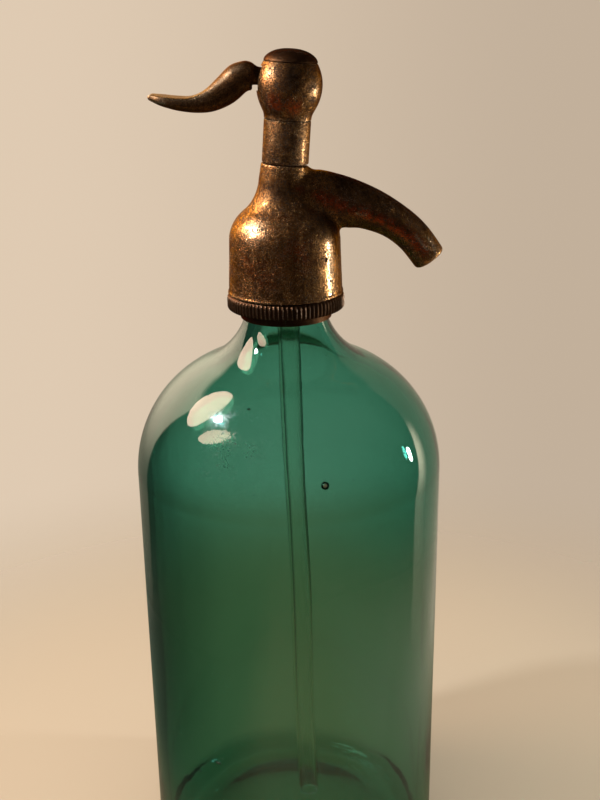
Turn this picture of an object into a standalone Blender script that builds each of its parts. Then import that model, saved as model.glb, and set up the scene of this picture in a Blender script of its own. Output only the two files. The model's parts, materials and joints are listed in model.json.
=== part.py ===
"""Soda siphon: a glass bottle with a split collar, a dip tube and a lever head with its valve.

Lengths are metres. The origin is the middle of the bottle's foot, +Z is up, the spout points
to +X and the lever to -X. Everything above the bell leans a little towards the spout.
"""

import math

import bmesh
import bpy
from mathutils import Matrix, Vector

for old_object in list(bpy.data.objects):
    bpy.data.objects.remove(old_object, do_unlink=True)

# Fits
GAP = 0.0003
RUNNING_CLEARANCE = 0.0003
SWING_CLEARANCE = 0.0004
OVERRUN = 0.004
MERGE_DISTANCE = 0.000001

# Steps round a turned piece, and along the arcs of its outline
LARGE_STEPS = 40
SMALL_STEPS = 32
INNER_STEPS = 24
PUNT_STEPS = 3
HEEL_STEPS = 4
SHOULDER_STEPS = 8
FILLET_STEPS = 6
BEAD_STEPS = 3
LIP_STEPS = 2
INNER_FILLET_STEPS = 5
INNER_SHOULDER_STEPS = 6
INNER_HEEL_STEPS = 3
COLLAR_FIT_STEPS = 5
RING_ROUND_STEPS = 2
BELL_STEPS = 7
SHARP_ANGLE = math.radians(32)
QUARTER_TURN = math.pi / 2
ROUND_SECTION = 2

# Finishes: colour, roughness, metallic value and transmission
GREEN_GLASS = ((0.05, 0.28, 0.2), 0.03, 0, 1)
PALE_GLASS = ((0.5, 0.62, 0.5), 0.05, 0, 1)
PORCELAIN = ((0.75, 0.73, 0.66), 0.25, 0, 0)
RUBBER = ((0.05, 0.035, 0.03), 0.7, 0, 0)
LEATHER = ((0.16, 0.09, 0.05), 0.8, 0, 0)
AGED_METAL = ((0.24, 0.16, 0.1), 0.35, 1, 0)
DARK_METAL = ((0.12, 0.08, 0.06), 0.42, 1, 0)
BRASS = ((0.55, 0.38, 0.16), 0.3, 1, 0)
SPRING_STEEL = ((0.3, 0.28, 0.26), 0.3, 1, 0)

# Bottle
BOTTLE_RADIUS = 0.0525
STRAIGHT_HEIGHT = 0.1572
SHOULDER_ARC = 0.042
NECK_RADIUS = 0.0126
NECK_FILLET = 0.0250
GLASS_WALL = 0.0042
HEEL_ARC = 0.007
INNER_HEEL_ARC = 0.008
FOOT_WIDTH = 0.010
PUNT_RISE = 0.008
FLOOR_THICKNESS = 0.0075
NECK_ABOVE_FILLET = 0.0043
BEAD_HEIGHT = 0.0043
BEAD_PROUD = 0.0016
LIP_HEIGHT = 0.0013
LIP_ROUND = 0.0005
BEAD_SWEEP = math.radians(70)

# Split collar under the bead, and its cushion
COLLAR_PROUD = 0.0017
COLLAR_STEP = 0.0007
COLLAR_LIP_HEIGHT = 0.0052
COLLAR_SEAT_HEIGHT = 0.0051
COLLAR_SPLIT = 0.0004
COLLAR_EDGE = 0.0004
CUSHION_THICKNESS = 0.001

# Fluted ring
RING_THREAD_WALL = 0.0008
RING_LEDGE_HEIGHT = 0.0019
RING_FLANGE_HEIGHT = 0.005
RING_FLANGE_PROUD = 0.0007
RING_THREAD_HEIGHT = 0.0065
RING_ROUND = 0.001
FLUTE_DEPTH = 0.00032
FLUTES = 84
RING_COARSER = 4

# Seals at the mouth, and the dip tube, whose radius follows the neck's bore
GASKET_THICKNESS = 0.0018
FERRULE_FLANGE_THICKNESS = 0.0017
FERRULE_SHANK_LENGTH = 0.009
FERRULE_WASHER_THICKNESS = 0.0012
MOUTH_SEAL_PROUD = 0.0008
TUBE_SHARE = 0.446
TUBE_BORE_SHARE = 0.667
TUBE_FOOT_CLEARANCE = 0.0036
TUBE_LEAN = math.radians(-1.5)
TUBE_SEAL_WALL = 0.0021
TUBE_SEAL_HEIGHT = 0.0024
TUBE_HOLE_CLEARANCE = 0.0005

# Head body: bell, neck and spout
BELL_WALL = 0.0015
BELL_TAPER = 0.0006
BELL_FLARE = 0.0003
BELL_FLARE_HEIGHT = 0.0009
BELL_SIDE_HEIGHT = 0.0172
BELL_ARC = 0.0115
HEAD_NECK_RADIUS = 0.0082
HEAD_NECK_TAPER = 0.0005
MOUTH_ROOM = 0.0005
PASSAGE_RADIUS = 0.0032
PASSAGE_LENGTH = 0.0061
HEAD_LEAN = math.radians(4.2)
LEAN_START = 0.0095
LEAN_END = 0.0005

# Spout: reach and fall of its centre line from the bell's axis, and its greatest half sizes
SPOUT_REACH = 0.0478
SPOUT_FALL = 0.0225
SPOUT_HALF_DEPTH = 0.0096
SPOUT_HALF_WIDTH = 0.0062
SPOUT_ROOT_HEIGHT = 0.0315
SPOUT_BORE_RADIUS = 0.003
SPOUT_SQUARENESS = 1.85
SPOUT_SIDES = 24
SPOUT_STATIONS = 15
SPOUT_BORE_SIDES = 12
# Reach, fall, half depth and half width, as shares of the four sizes above
SPOUT_SHARES = (
    (0.04, 0.010, 0.92, 0.97),
    (0.17, 0.025, 0.94, 1.00),
    (0.29, 0.072, 0.94, 1.00),
    (0.42, 0.120, 0.855, 0.97),
    (0.57, 0.203, 0.72, 0.92),
    (0.74, 0.382, 0.62, 0.86),
    (0.88, 0.627, 0.585, 0.82),
    (1.00, 0.965, 0.565, 0.79),
)

# Valve
SEAT_RADIUS = 0.005
SEAT_BORE_RADIUS = 0.0022
SEAT_HEIGHT = 0.0042
SEAT_LIP_HEIGHT = 0.0006
SEAT_LIP_WIDTH = 0.0007
VALVE_DISC_RADIUS = 0.0037
VALVE_DISC_THICKNESS = 0.0021
VALVE_DISC_SHOWN = 0.001
CUP_WALL = 0.0005
CUP_ROOF = 0.0019
CUP_EDGE = 0.0006
ROD_RADIUS = 0.0015
ROD_TIP = 0.0003
LIFT_ROOM = 0.002

# Packing and stem
PACKING_STEP = 0.0006
PACKING_WASHER_THICKNESS = 0.0008
PACKING_THICKNESS = 0.0026
GLAND_FLOOR = 0.0019
STEM_SPIGOT_LENGTH = 0.0048
STEM_LENGTH = 0.0133
STEM_RADIUS = 0.0075
STEM_EDGE = 0.0003
STEM_BORE_RADIUS = 0.0046
SPRING_FLANGE_THICKNESS = 0.0014
SPRING_FLANGE_REST = 0.0006
SPRING_WIRE_RADIUS = 0.00055
SPRING_TURNS = 4
SPRING_TURN_POINTS = 12
SPRING_WASHER_THICKNESS = 0.0006

# Ball, its cap and the lever's pivot
BALL_RADIUS = 0.0104
BALL_HALF_HEIGHT = 0.0121
BALL_CENTRE_RISE = 0.0103
BALL_HEIGHT = 0.0171
BALL_NECK_SHARPNESS = 13
BALL_SPIGOT_LENGTH = 0.0049
BALL_SPIGOT_RADIUS = 0.0059
BALL_FLOOR_RISE = 0.0041
BALL_CAVITY_RADIUS = 0.0066
BALL_PROFILE_POINTS = 13
CAP_HEIGHT = 0.0038
CAP_OVERHANG = 0.0001
CAP_EDGE_HEIGHT = 0.0003
CAP_WALL = 0.0018
CAP_SPIGOT_LENGTH = 0.0015
CAP_SPIGOT_WALL = 0.0013
CAP_FULLNESS = 2.6
CAP_FALL = 0.85
CAP_PROFILE_POINTS = 8
PIVOT_RISE = 0.0124
PIVOT_REACH = 0.0055
PIVOT_SCREW_RADIUS = 0.0012
PIVOT_SCREW_FRONT = 0.0063
PIVOT_SCREW_BACK = 0.0067
PIVOT_HEAD_RADIUS = 0.0022
PIVOT_HEAD_HEIGHT = 0.0011
PIVOT_DRIVE_WIDTH = 0.0006
PIVOT_DRIVE_DEPTH = 0.0005
APERTURE_ABOVE_PIVOT = 0.0032
APERTURE_BELOW_PIVOT = 0.0045

# Lever: reach and fall of its centre line from the pivot, and its greatest half sizes
LEVER_REACH = 0.0383
LEVER_FALL = 0.0097
LEVER_HALF_DEPTH = 0.00455
LEVER_HALF_WIDTH = 0.0058
LEVER_SIDES = 20
LEVER_STATIONS = 19
LEVER_SQUARENESS = 2.1
# Reach, fall, half depth and half width, as shares of the four sizes above
LEVER_SHARES = (
    (0.030, 0.000, 0.55, 0.48),
    (0.070, 0.000, 0.57, 0.49),
    (0.133, 0.000, 0.605, 0.50),
    (0.178, -0.040, 0.92, 0.67),
    (0.277, 0.120, 1.03, 0.76),
    (0.379, 0.520, 0.99, 0.76),
    (0.507, 0.856, 0.790, 0.80),
    (0.640, 1.000, 0.582, 0.90),
    (0.770, 1.000, 0.473, 1.00),
    (0.888, 0.938, 0.385, 0.96),
    (0.966, 0.876, 0.220, 0.70),
    (1.000, 0.860, 0.070, 0.34),
)
EYE_RADIUS = 0.0024
KNUCKLE_RADIUS = 0.0021
FORK_HALF_WIDTH = 0.003
FORK_SLOT_HALF_WIDTH = 0.0018
FORK_SLOT_DEPTH = 0.0027
PIVOT_HOLE_CLEARANCE = 0.00025
FORK_ARC_STEPS = 7

# Piston nut
NUT_RADIUS = 0.0027
NUT_HEIGHT = 0.0022
NUT_SIDES = 6
ROD_ABOVE_NUT = 0.0006


# Bottle, upwards from the foot
fillet_centre_radius = NECK_RADIUS + NECK_FILLET
shoulder_centre_radius = BOTTLE_RADIUS - SHOULDER_ARC
centre_offset = fillet_centre_radius - shoulder_centre_radius
fillet_centre_z = STRAIGHT_HEIGHT + math.sqrt((SHOULDER_ARC + NECK_FILLET) ** 2 - centre_offset**2)
shoulder_sweep = math.atan2(fillet_centre_z - STRAIGHT_HEIGHT, centre_offset)
bead_bottom_z = fillet_centre_z + NECK_ABOVE_FILLET
bead_top_z = bead_bottom_z + BEAD_HEIGHT
mouth_z = bead_top_z + LIP_HEIGHT
bead_radius = NECK_RADIUS + BEAD_PROUD
neck_bore_radius = NECK_RADIUS - GLASS_WALL

# Collar and ring, downwards from the bead
cushion_top_z = bead_bottom_z - GAP
cushion_bottom_z = cushion_top_z - CUSHION_THICKNESS
collar_top_z = cushion_bottom_z - GAP
collar_step_z = collar_top_z - COLLAR_SEAT_HEIGHT
collar_bottom_z = collar_step_z - COLLAR_LIP_HEIGHT
collar_radius = bead_radius + COLLAR_PROUD
collar_lip_radius = collar_radius - COLLAR_STEP
ring_ledge_z = collar_step_z - GAP
ring_bottom_z = ring_ledge_z - RING_LEDGE_HEIGHT
ring_flange_top_z = ring_bottom_z + RING_FLANGE_HEIGHT
ring_top_z = ring_flange_top_z + RING_THREAD_HEIGHT
ring_bore_radius = collar_radius + GAP
ring_lip_bore_radius = collar_lip_radius + GAP
ring_thread_radius = ring_bore_radius + RING_THREAD_WALL

# Head body, upwards from the ring's flange
head_bottom_z = ring_flange_top_z + GAP
head_bore_radius = ring_thread_radius + GAP
bell_radius = head_bore_radius + BELL_WALL
ring_flange_radius = bell_radius + RING_FLANGE_PROUD
bell_side_top_z = head_bottom_z + BELL_SIDE_HEIGHT
bell_top_radius = bell_radius - BELL_TAPER
bell_arc_offset = 2 * BELL_ARC - (bell_top_radius - HEAD_NECK_RADIUS)
bell_arc_rise = math.sqrt((2 * BELL_ARC) ** 2 - bell_arc_offset**2)
bell_sweep = math.atan2(bell_arc_rise, bell_arc_offset)
head_neck_z = bell_side_top_z + bell_arc_rise

# Seals, upwards from the mouth
gasket_bottom_z = mouth_z + GAP
gasket_top_z = gasket_bottom_z + GASKET_THICKNESS
ferrule_flange_z = gasket_top_z + GAP
ferrule_top_z = ferrule_flange_z + FERRULE_FLANGE_THICKNESS
ferrule_bottom_z = ferrule_flange_z - FERRULE_SHANK_LENGTH
washer_bottom_z = ferrule_top_z + GAP
washer_top_z = washer_bottom_z + FERRULE_WASHER_THICKNESS
head_step_z = washer_top_z + GAP
seal_radius = NECK_RADIUS + MOUTH_SEAL_PROUD
seal_bore_radius = seal_radius + GAP
tube_radius = TUBE_SHARE * neck_bore_radius
tube_bore_radius = TUBE_BORE_SHARE * tube_radius
tube_seal_bore_radius = tube_radius + GAP
tube_seal_radius = tube_seal_bore_radius + TUBE_SEAL_WALL
tube_seal_top_z = ferrule_top_z - GAP
tube_seal_bottom_z = tube_seal_top_z - TUBE_SEAL_HEIGHT
tube_hole_radius = tube_radius + TUBE_HOLE_CLEARANCE
tube_top_z = tube_seal_top_z - GAP
floor_crown_z = PUNT_RISE + FLOOR_THICKNESS
tube_bottom_z = floor_crown_z + TUBE_FOOT_CLEARANCE

# Valve and packing, upwards along the leaning axis
pocket_floor_z = head_step_z + PASSAGE_LENGTH
seat_bottom_z = pocket_floor_z + GAP
seat_top_z = seat_bottom_z + SEAT_HEIGHT
seat_lip_z = seat_top_z + SEAT_LIP_HEIGHT
disc_bottom_z = seat_lip_z + GAP
disc_top_z = disc_bottom_z + VALVE_DISC_THICKNESS
cup_bottom_z = disc_bottom_z + VALVE_DISC_SHOWN
cup_recess_z = disc_top_z + GAP
cup_top_z = cup_recess_z + CUP_ROOF
cup_recess_radius = VALVE_DISC_RADIUS + GAP
cup_radius = cup_recess_radius + CUP_WALL
chamber_radius = SEAT_RADIUS + GAP
chamber_top_z = cup_top_z + LIFT_ROOM
packing_radius = chamber_radius + PACKING_STEP - GAP
packing_bore_radius = chamber_radius + PACKING_STEP
packing_washer_z = chamber_top_z + GAP
packing_washer_top_z = packing_washer_z + PACKING_WASHER_THICKNESS
packing_z = packing_washer_top_z + GAP
packing_top_z = packing_z + PACKING_THICKNESS
spigot_bottom_z = packing_top_z + GAP
rod_hole_radius = ROD_RADIUS + RUNNING_CLEARANCE
lean_pivot_z = packing_washer_top_z + GAP

# Stem, upwards from its seam on the head body
stem_z = spigot_bottom_z + STEM_SPIGOT_LENGTH
head_top_z = stem_z - GAP
stem_top_z = stem_z + STEM_LENGTH
stem_floor_z = spigot_bottom_z + GLAND_FLOOR
ball_z = stem_top_z + GAP
ball_spigot_z = ball_z - BALL_SPIGOT_LENGTH
stem_socket_z = ball_spigot_z - GAP
stem_socket_radius = BALL_SPIGOT_RADIUS + GAP
spring_flange_z = stem_floor_z + SPRING_FLANGE_REST
spring_flange_top_z = spring_flange_z + SPRING_FLANGE_THICKNESS
spring_flange_radius = STEM_BORE_RADIUS - SWING_CLEARANCE
spring_washer_top_z = ball_spigot_z - GAP
spring_washer_z = spring_washer_top_z - SPRING_WASHER_THICKNESS
spring_bottom_z = spring_flange_top_z + GAP
spring_top_z = spring_washer_z - GAP
spring_radius = spring_flange_radius - SWING_CLEARANCE - SPRING_WIRE_RADIUS

# Ball, cap and pivot
ball_centre_z = ball_z + BALL_CENTRE_RISE
ball_top_z = ball_z + BALL_HEIGHT
ball_floor_z = ball_z + BALL_FLOOR_RISE
pivot_z = ball_z + PIVOT_RISE
cap_z = ball_top_z + GAP
cap_top_z = cap_z + CAP_HEIGHT
cap_roof_z = cap_top_z - CAP_WALL
cap_spigot_z = cap_z - CAP_SPIGOT_LENGTH
cap_spigot_radius = BALL_CAVITY_RADIUS - GAP
cap_bore_radius = cap_spigot_radius - CAP_SPIGOT_WALL
pivot_hole_radius = PIVOT_SCREW_RADIUS + PIVOT_HOLE_CLEARANCE
nut_z = pivot_z + KNUCKLE_RADIUS + GAP
nut_top_z = nut_z + NUT_HEIGHT
rod_top_z = nut_top_z + ROD_ABOVE_NUT


def arc(centre_r, centre_z, radius, start, end, segments):
    """Points of an arc in the (radius, height) plane, from one angle to the other."""
    angles = [start + (end - start) * index / segments for index in range(segments + 1)]
    return [(centre_r + radius * math.cos(a), centre_z + radius * math.sin(a)) for a in angles]


def neck_glass_radius(height):
    """Outer radius of the glass where the fillet runs into the neck."""
    below = max(0, fillet_centre_z - height)
    return fillet_centre_radius - math.sqrt(NECK_FILLET**2 - below**2)


def ball_radius_at(height):
    """Outer radius of the ball: an egg that runs smoothly into the stem's radius."""
    share = min(1, abs(height - ball_centre_z) / BALL_HALF_HEIGHT)
    egg = BALL_RADIUS * math.sqrt(1 - share**2) / STEM_RADIUS
    return STEM_RADIUS * (egg**BALL_NECK_SHARPNESS + 1) ** (1 / BALL_NECK_SHARPNESS)


def between(table, share):
    """A row of a table at a share of its length, on a smooth curve through its rows."""
    place = share * (len(table) - 1)
    index = min(int(place), len(table) - 2)
    t = place - index
    rows = [table[max(0, min(len(table) - 1, index + step))] for step in (-1, 0, 1, 2)]
    return [
        b + 0.5 * t * (c - a + t * (2 * a - 5 * b + 4 * c - d + t * (3 * (b - c) + d - a)))
        for a, b, c, d in zip(*rows)
    ]


def finish(name, shape, look):
    """Makes the object of a bmesh, shaded smooth, with its own material of that finish."""
    bmesh.ops.remove_doubles(shape, verts=shape.verts, dist=MERGE_DISTANCE)
    bmesh.ops.recalc_face_normals(shape, faces=shape.faces)
    mesh = bpy.data.meshes.new(name)
    shape.to_mesh(mesh)
    shape.free()
    mesh.shade_smooth()
    mesh.set_sharp_from_angle(angle=SHARP_ANGLE)
    made = bpy.data.objects.new(name, mesh)
    bpy.context.scene.collection.objects.link(made)
    paint(made, look)
    return made


def paint(made, look):
    colour, roughness, metallic, transmission = look
    material = bpy.data.materials.new(made.name)
    material.use_nodes = True
    shader = material.node_tree.nodes["Principled BSDF"]
    shader.inputs["Base Color"].default_value = (*colour, 1)
    shader.inputs["Roughness"].default_value = roughness
    shader.inputs["Metallic"].default_value = metallic
    shader.inputs["Transmission Weight"].default_value = transmission
    made.data.materials.append(material)


def turned(outline, steps):
    """A bmesh turned about Z from (radius, height) points, closed or ending on the axis."""
    shape = bmesh.new()
    corners = [shape.verts.new((radius, 0, height)) for radius, height in outline]
    pairs = list(zip(corners, corners[1:]))
    if outline[0][0] > 0:
        pairs.append((corners[-1], corners[0]))
    edges = [shape.edges.new(pair) for pair in pairs]
    bmesh.ops.spin(
        shape,
        geom=corners + edges,
        axis=(0, 0, 1),
        cent=(0, 0, 0),
        steps=steps,
        angle=math.tau,
        use_merge=True,
    )
    bmesh.ops.remove_doubles(shape, verts=shape.verts, dist=MERGE_DISTANCE)
    return shape


def lofted(stations, sides, squareness):
    """A bmesh through oval rings; a station is its centre, its direction, half depth and half width."""
    shape = bmesh.new()
    rings = []
    for centre, direction, half_depth, half_width in stations:
        across = Vector((0, 1, 0)).cross(direction)
        verts = []
        for side in range(sides):
            turn = math.tau * side / sides
            c, s = math.cos(turn), math.sin(turn)
            depth = math.copysign(abs(c) ** (2 / squareness), c) * half_depth
            width = math.copysign(abs(s) ** (2 / squareness), s) * half_width
            verts.append(shape.verts.new(centre + across * depth + Vector((0, width, 0))))
        rings.append([shape.edges.new((a, b)) for a, b in zip(verts, verts[1:] + verts[:1])])
        if centre == stations[0][0] or centre == stations[-1][0]:
            shape.faces.new(verts)
    for first, second in zip(rings, rings[1:]):
        bmesh.ops.bridge_loops(shape, edges=first + second)
    return shape


def curved_stations(table, count, sizes, start):
    """Stations for lofted: shares of the sizes, placed from a start point in the XZ plane."""
    rows = [between(table, index / (count - 1)) for index in range(count)]
    centres = [start + Vector((row[0] * sizes[0], 0, -row[1] * sizes[1])) for row in rows]
    stations = []
    for index, (row, centre) in enumerate(zip(rows, centres)):
        before = centres[max(0, index - 1)]
        after = centres[min(count - 1, index + 1)]
        stations.append((centre, (after - before).normalized(), row[2] * sizes[2], row[3] * sizes[3]))
    return stations


def rod_along_y(centre_x, centre_z, radius, low_y, high_y, steps):
    """A bmesh cylinder along Y."""
    shape = turned([(0, low_y), (radius, low_y), (radius, high_y), (0, high_y)], steps)
    for vert in shape.verts:
        vert.co = Vector((centre_x + vert.co.x, vert.co.z, centre_z - vert.co.y))
    return shape


def block(low, high):
    """A bmesh box between two corners."""
    shape = bmesh.new()
    bmesh.ops.create_cube(shape, size=1)
    for vert in shape.verts:
        vert.co = Vector(h if c > 0 else l for c, l, h in zip(vert.co, low, high))
    return shape


def helper(name, shape):
    """A cutter or an added shape, left out of renders."""
    bmesh.ops.recalc_face_normals(shape, faces=shape.faces)
    mesh = bpy.data.meshes.new(name)
    shape.to_mesh(mesh)
    shape.free()
    made = bpy.data.objects.new(name, mesh)
    bpy.context.scene.collection.objects.link(made)
    made.hide_render = True
    made.display_type = "WIRE"
    return made


def combine(made, other, operation):
    boolean = made.modifiers.new(other.name, "BOOLEAN")
    boolean.object = other
    boolean.operation = operation
    boolean.solver = "EXACT"


# Axes that pieces hang on
head_axis = bpy.data.objects.new("head_axis", None)
head_axis.location = (0, 0, lean_pivot_z)
head_axis.rotation_euler = (0, HEAD_LEAN, 0)
bpy.context.scene.collection.objects.link(head_axis)

lever_axis = bpy.data.objects.new("lever_axis", None)
lever_axis.parent = head_axis
lever_axis.location = (-PIVOT_REACH, 0, pivot_z - lean_pivot_z)
bpy.context.scene.collection.objects.link(lever_axis)

tube_axis = bpy.data.objects.new("tube_axis", None)
tube_axis.location = (0, 0, tube_seal_bottom_z)
tube_axis.rotation_euler = (0, TUBE_LEAN, 0)
bpy.context.scene.collection.objects.link(tube_axis)


def on_head(made):
    """Hangs a piece that was modelled at its height along Z on the leaning axis."""
    made.parent = head_axis
    made.location = (0, 0, -lean_pivot_z)
    return made


def on_lever(made):
    made.parent = lever_axis
    return made


# Glass bottle
def make_bottle():
    foot_radius = BOTTLE_RADIUS - HEEL_ARC
    punt_radius = foot_radius - FOOT_WIDTH
    inner_radius = BOTTLE_RADIUS - GLASS_WALL
    inner_floor_radius = inner_radius - INNER_HEEL_ARC
    bead_round = BEAD_HEIGHT / 2
    lip_z = mouth_z - LIP_ROUND
    inner_heel_z = FLOOR_THICKNESS + INNER_HEEL_ARC
    fillet_turn = math.pi + shoulder_sweep
    shares = [index / PUNT_STEPS for index in range(PUNT_STEPS + 1)]
    outline = [(punt_radius * share, PUNT_RISE * (1 - share**2)) for share in shares]
    outline += arc(foot_radius, HEEL_ARC, HEEL_ARC, -QUARTER_TURN, 0, HEEL_STEPS)
    outline += arc(
        shoulder_centre_radius, STRAIGHT_HEIGHT, SHOULDER_ARC, 0, shoulder_sweep, SHOULDER_STEPS
    )
    outline += arc(
        fillet_centre_radius, fillet_centre_z, NECK_FILLET, fillet_turn, math.pi, FILLET_STEPS
    )[1:]
    outline.append((NECK_RADIUS, bead_bottom_z))
    outline += arc(
        bead_radius - bead_round,
        bead_bottom_z + bead_round,
        bead_round,
        -BEAD_SWEEP,
        BEAD_SWEEP,
        BEAD_STEPS,
    )
    outline += arc(NECK_RADIUS - LIP_ROUND, lip_z, LIP_ROUND, 0, QUARTER_TURN, LIP_STEPS)
    outline += arc(neck_bore_radius + LIP_ROUND, lip_z, LIP_ROUND, QUARTER_TURN, math.pi, LIP_STEPS)
    outline += arc(
        fillet_centre_radius,
        fillet_centre_z,
        NECK_FILLET + GLASS_WALL,
        math.pi,
        fillet_turn,
        INNER_FILLET_STEPS,
    )
    outline += arc(
        shoulder_centre_radius,
        STRAIGHT_HEIGHT,
        SHOULDER_ARC - GLASS_WALL,
        shoulder_sweep,
        0,
        INNER_SHOULDER_STEPS,
    )[1:]
    outline += arc(
        inner_floor_radius, inner_heel_z, INNER_HEEL_ARC, 0, -QUARTER_TURN, INNER_HEEL_STEPS
    )
    outline += [
        (inner_floor_radius * share, FLOOR_THICKNESS + PUNT_RISE * (1 - share**2))
        for share in reversed(shares[:-1])
    ]
    finish("bottle", turned(outline, LARGE_STEPS), GREEN_GLASS)


# Dip tube and the seals at the mouth
def make_dip_tube():
    low = tube_bottom_z - tube_seal_bottom_z
    high = tube_top_z - tube_seal_bottom_z
    outline = [(tube_bore_radius, low), (tube_radius, low), (tube_radius, high), (tube_bore_radius, high)]
    tube = finish("dip_tube", turned(outline, INNER_STEPS), PALE_GLASS)
    tube.parent = tube_axis


def make_tube_ferrule():
    pocket_radius = tube_seal_radius + GAP
    pocket_z = tube_seal_bottom_z - GAP
    shank_radius = neck_bore_radius - GAP
    outline = [
        (tube_hole_radius, ferrule_bottom_z),
        (shank_radius, ferrule_bottom_z),
        (shank_radius, ferrule_flange_z),
        (seal_radius, ferrule_flange_z),
        (seal_radius, ferrule_top_z),
        (pocket_radius, ferrule_top_z),
        (pocket_radius, pocket_z),
        (tube_hole_radius, pocket_z),
    ]
    finish("tube_ferrule", turned(outline, INNER_STEPS), PORCELAIN)


def washer(name, bore, radius, low, high, look):
    outline = [(bore, low), (radius, low), (radius, high), (bore, high)]
    return finish(name, turned(outline, INNER_STEPS), look)


def make_mouth_seals():
    gasket_bore = neck_bore_radius + LIP_ROUND
    washer("tube_seal", tube_seal_bore_radius, tube_seal_radius, tube_seal_bottom_z, tube_seal_top_z, RUBBER)
    washer("mouth_gasket", gasket_bore, seal_radius, gasket_bottom_z, gasket_top_z, RUBBER)
    washer("ferrule_washer", tube_seal_bore_radius, seal_radius, washer_bottom_z, washer_top_z, RUBBER)


# Split collar and its cushion
def make_collar():
    lower_fit = [
        collar_bottom_z + (fillet_centre_z - collar_bottom_z) * index / COLLAR_FIT_STEPS
        for index in range(COLLAR_FIT_STEPS + 1)
    ]
    outline = [(neck_glass_radius(z) + GAP, z) for z in [collar_top_z, *reversed(lower_fit)]]
    outline += [
        (collar_lip_radius - COLLAR_EDGE, collar_bottom_z),
        (collar_lip_radius, collar_bottom_z + COLLAR_EDGE),
        (collar_lip_radius, collar_step_z),
        (collar_radius, collar_step_z),
        (collar_radius, collar_top_z),
    ]
    reach = collar_radius + OVERRUN
    low, high = collar_bottom_z - OVERRUN, collar_top_z + OVERRUN
    split = COLLAR_SPLIT / 2
    for name, side in (("collar_half_left", -1), ("collar_half_right", 1)):
        half = finish(name, turned(outline, SMALL_STEPS), AGED_METAL)
        edges = sorted((-side * reach, side * split))
        cutter = helper(name + "_cutter", block((edges[0], -reach, low), (edges[1], reach, high)))
        combine(half, cutter, "DIFFERENCE")
    washer("collar_cushion", NECK_RADIUS + GAP, collar_radius, cushion_bottom_z, cushion_top_z, LEATHER)


# Fluted ring
def make_knurled_ring():
    rim = ring_flange_radius
    corner = rim - RING_ROUND
    low, high = ring_bottom_z + RING_ROUND, ring_flange_top_z - RING_ROUND
    outline = [(ring_lip_bore_radius, ring_bottom_z)]
    outline += arc(corner, low, RING_ROUND, -QUARTER_TURN, 0, RING_ROUND_STEPS)
    outline += arc(corner, high, RING_ROUND, 0, QUARTER_TURN, RING_ROUND_STEPS)
    outline += [
        (ring_thread_radius, ring_flange_top_z),
        (ring_thread_radius, ring_top_z),
        (ring_bore_radius, ring_top_z),
        (ring_bore_radius, ring_ledge_z),
        (ring_lip_bore_radius, ring_ledge_z),
    ]
    shape = turned(outline, 2 * FLUTES)
    for vert in shape.verts:
        radius = vert.co.xy.length
        place = round(math.atan2(vert.co.y, vert.co.x) * FLUTES / math.pi)
        if radius < corner - MERGE_DISTANCE:
            turn = math.pi * RING_COARSER * round(place / RING_COARSER) / FLUTES
            vert.co.xy = (radius * math.cos(turn), radius * math.sin(turn))
        elif radius > corner + MERGE_DISTANCE and place % 2:
            vert.co.xy *= 1 - FLUTE_DEPTH / radius
    finish("knurled_ring", shape, DARK_METAL)


# Bell, neck and spout in one casting
def lean_weight(height):
    """How far a height of the casting has turned from upright to the leaning axis, from 0 to 1."""
    low, high = lean_pivot_z - LEAN_START, lean_pivot_z + LEAN_END
    share = min(1, max(0, (height - low) / (high - low)))
    return share * share * (3 - 2 * share)


def spout_stations():
    sizes = (SPOUT_REACH, SPOUT_FALL, SPOUT_HALF_DEPTH, SPOUT_HALF_WIDTH)
    start = Vector((0, 0, head_bottom_z + SPOUT_ROOT_HEIGHT))
    return curved_stations(SPOUT_SHARES, SPOUT_STATIONS, sizes, start)


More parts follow.
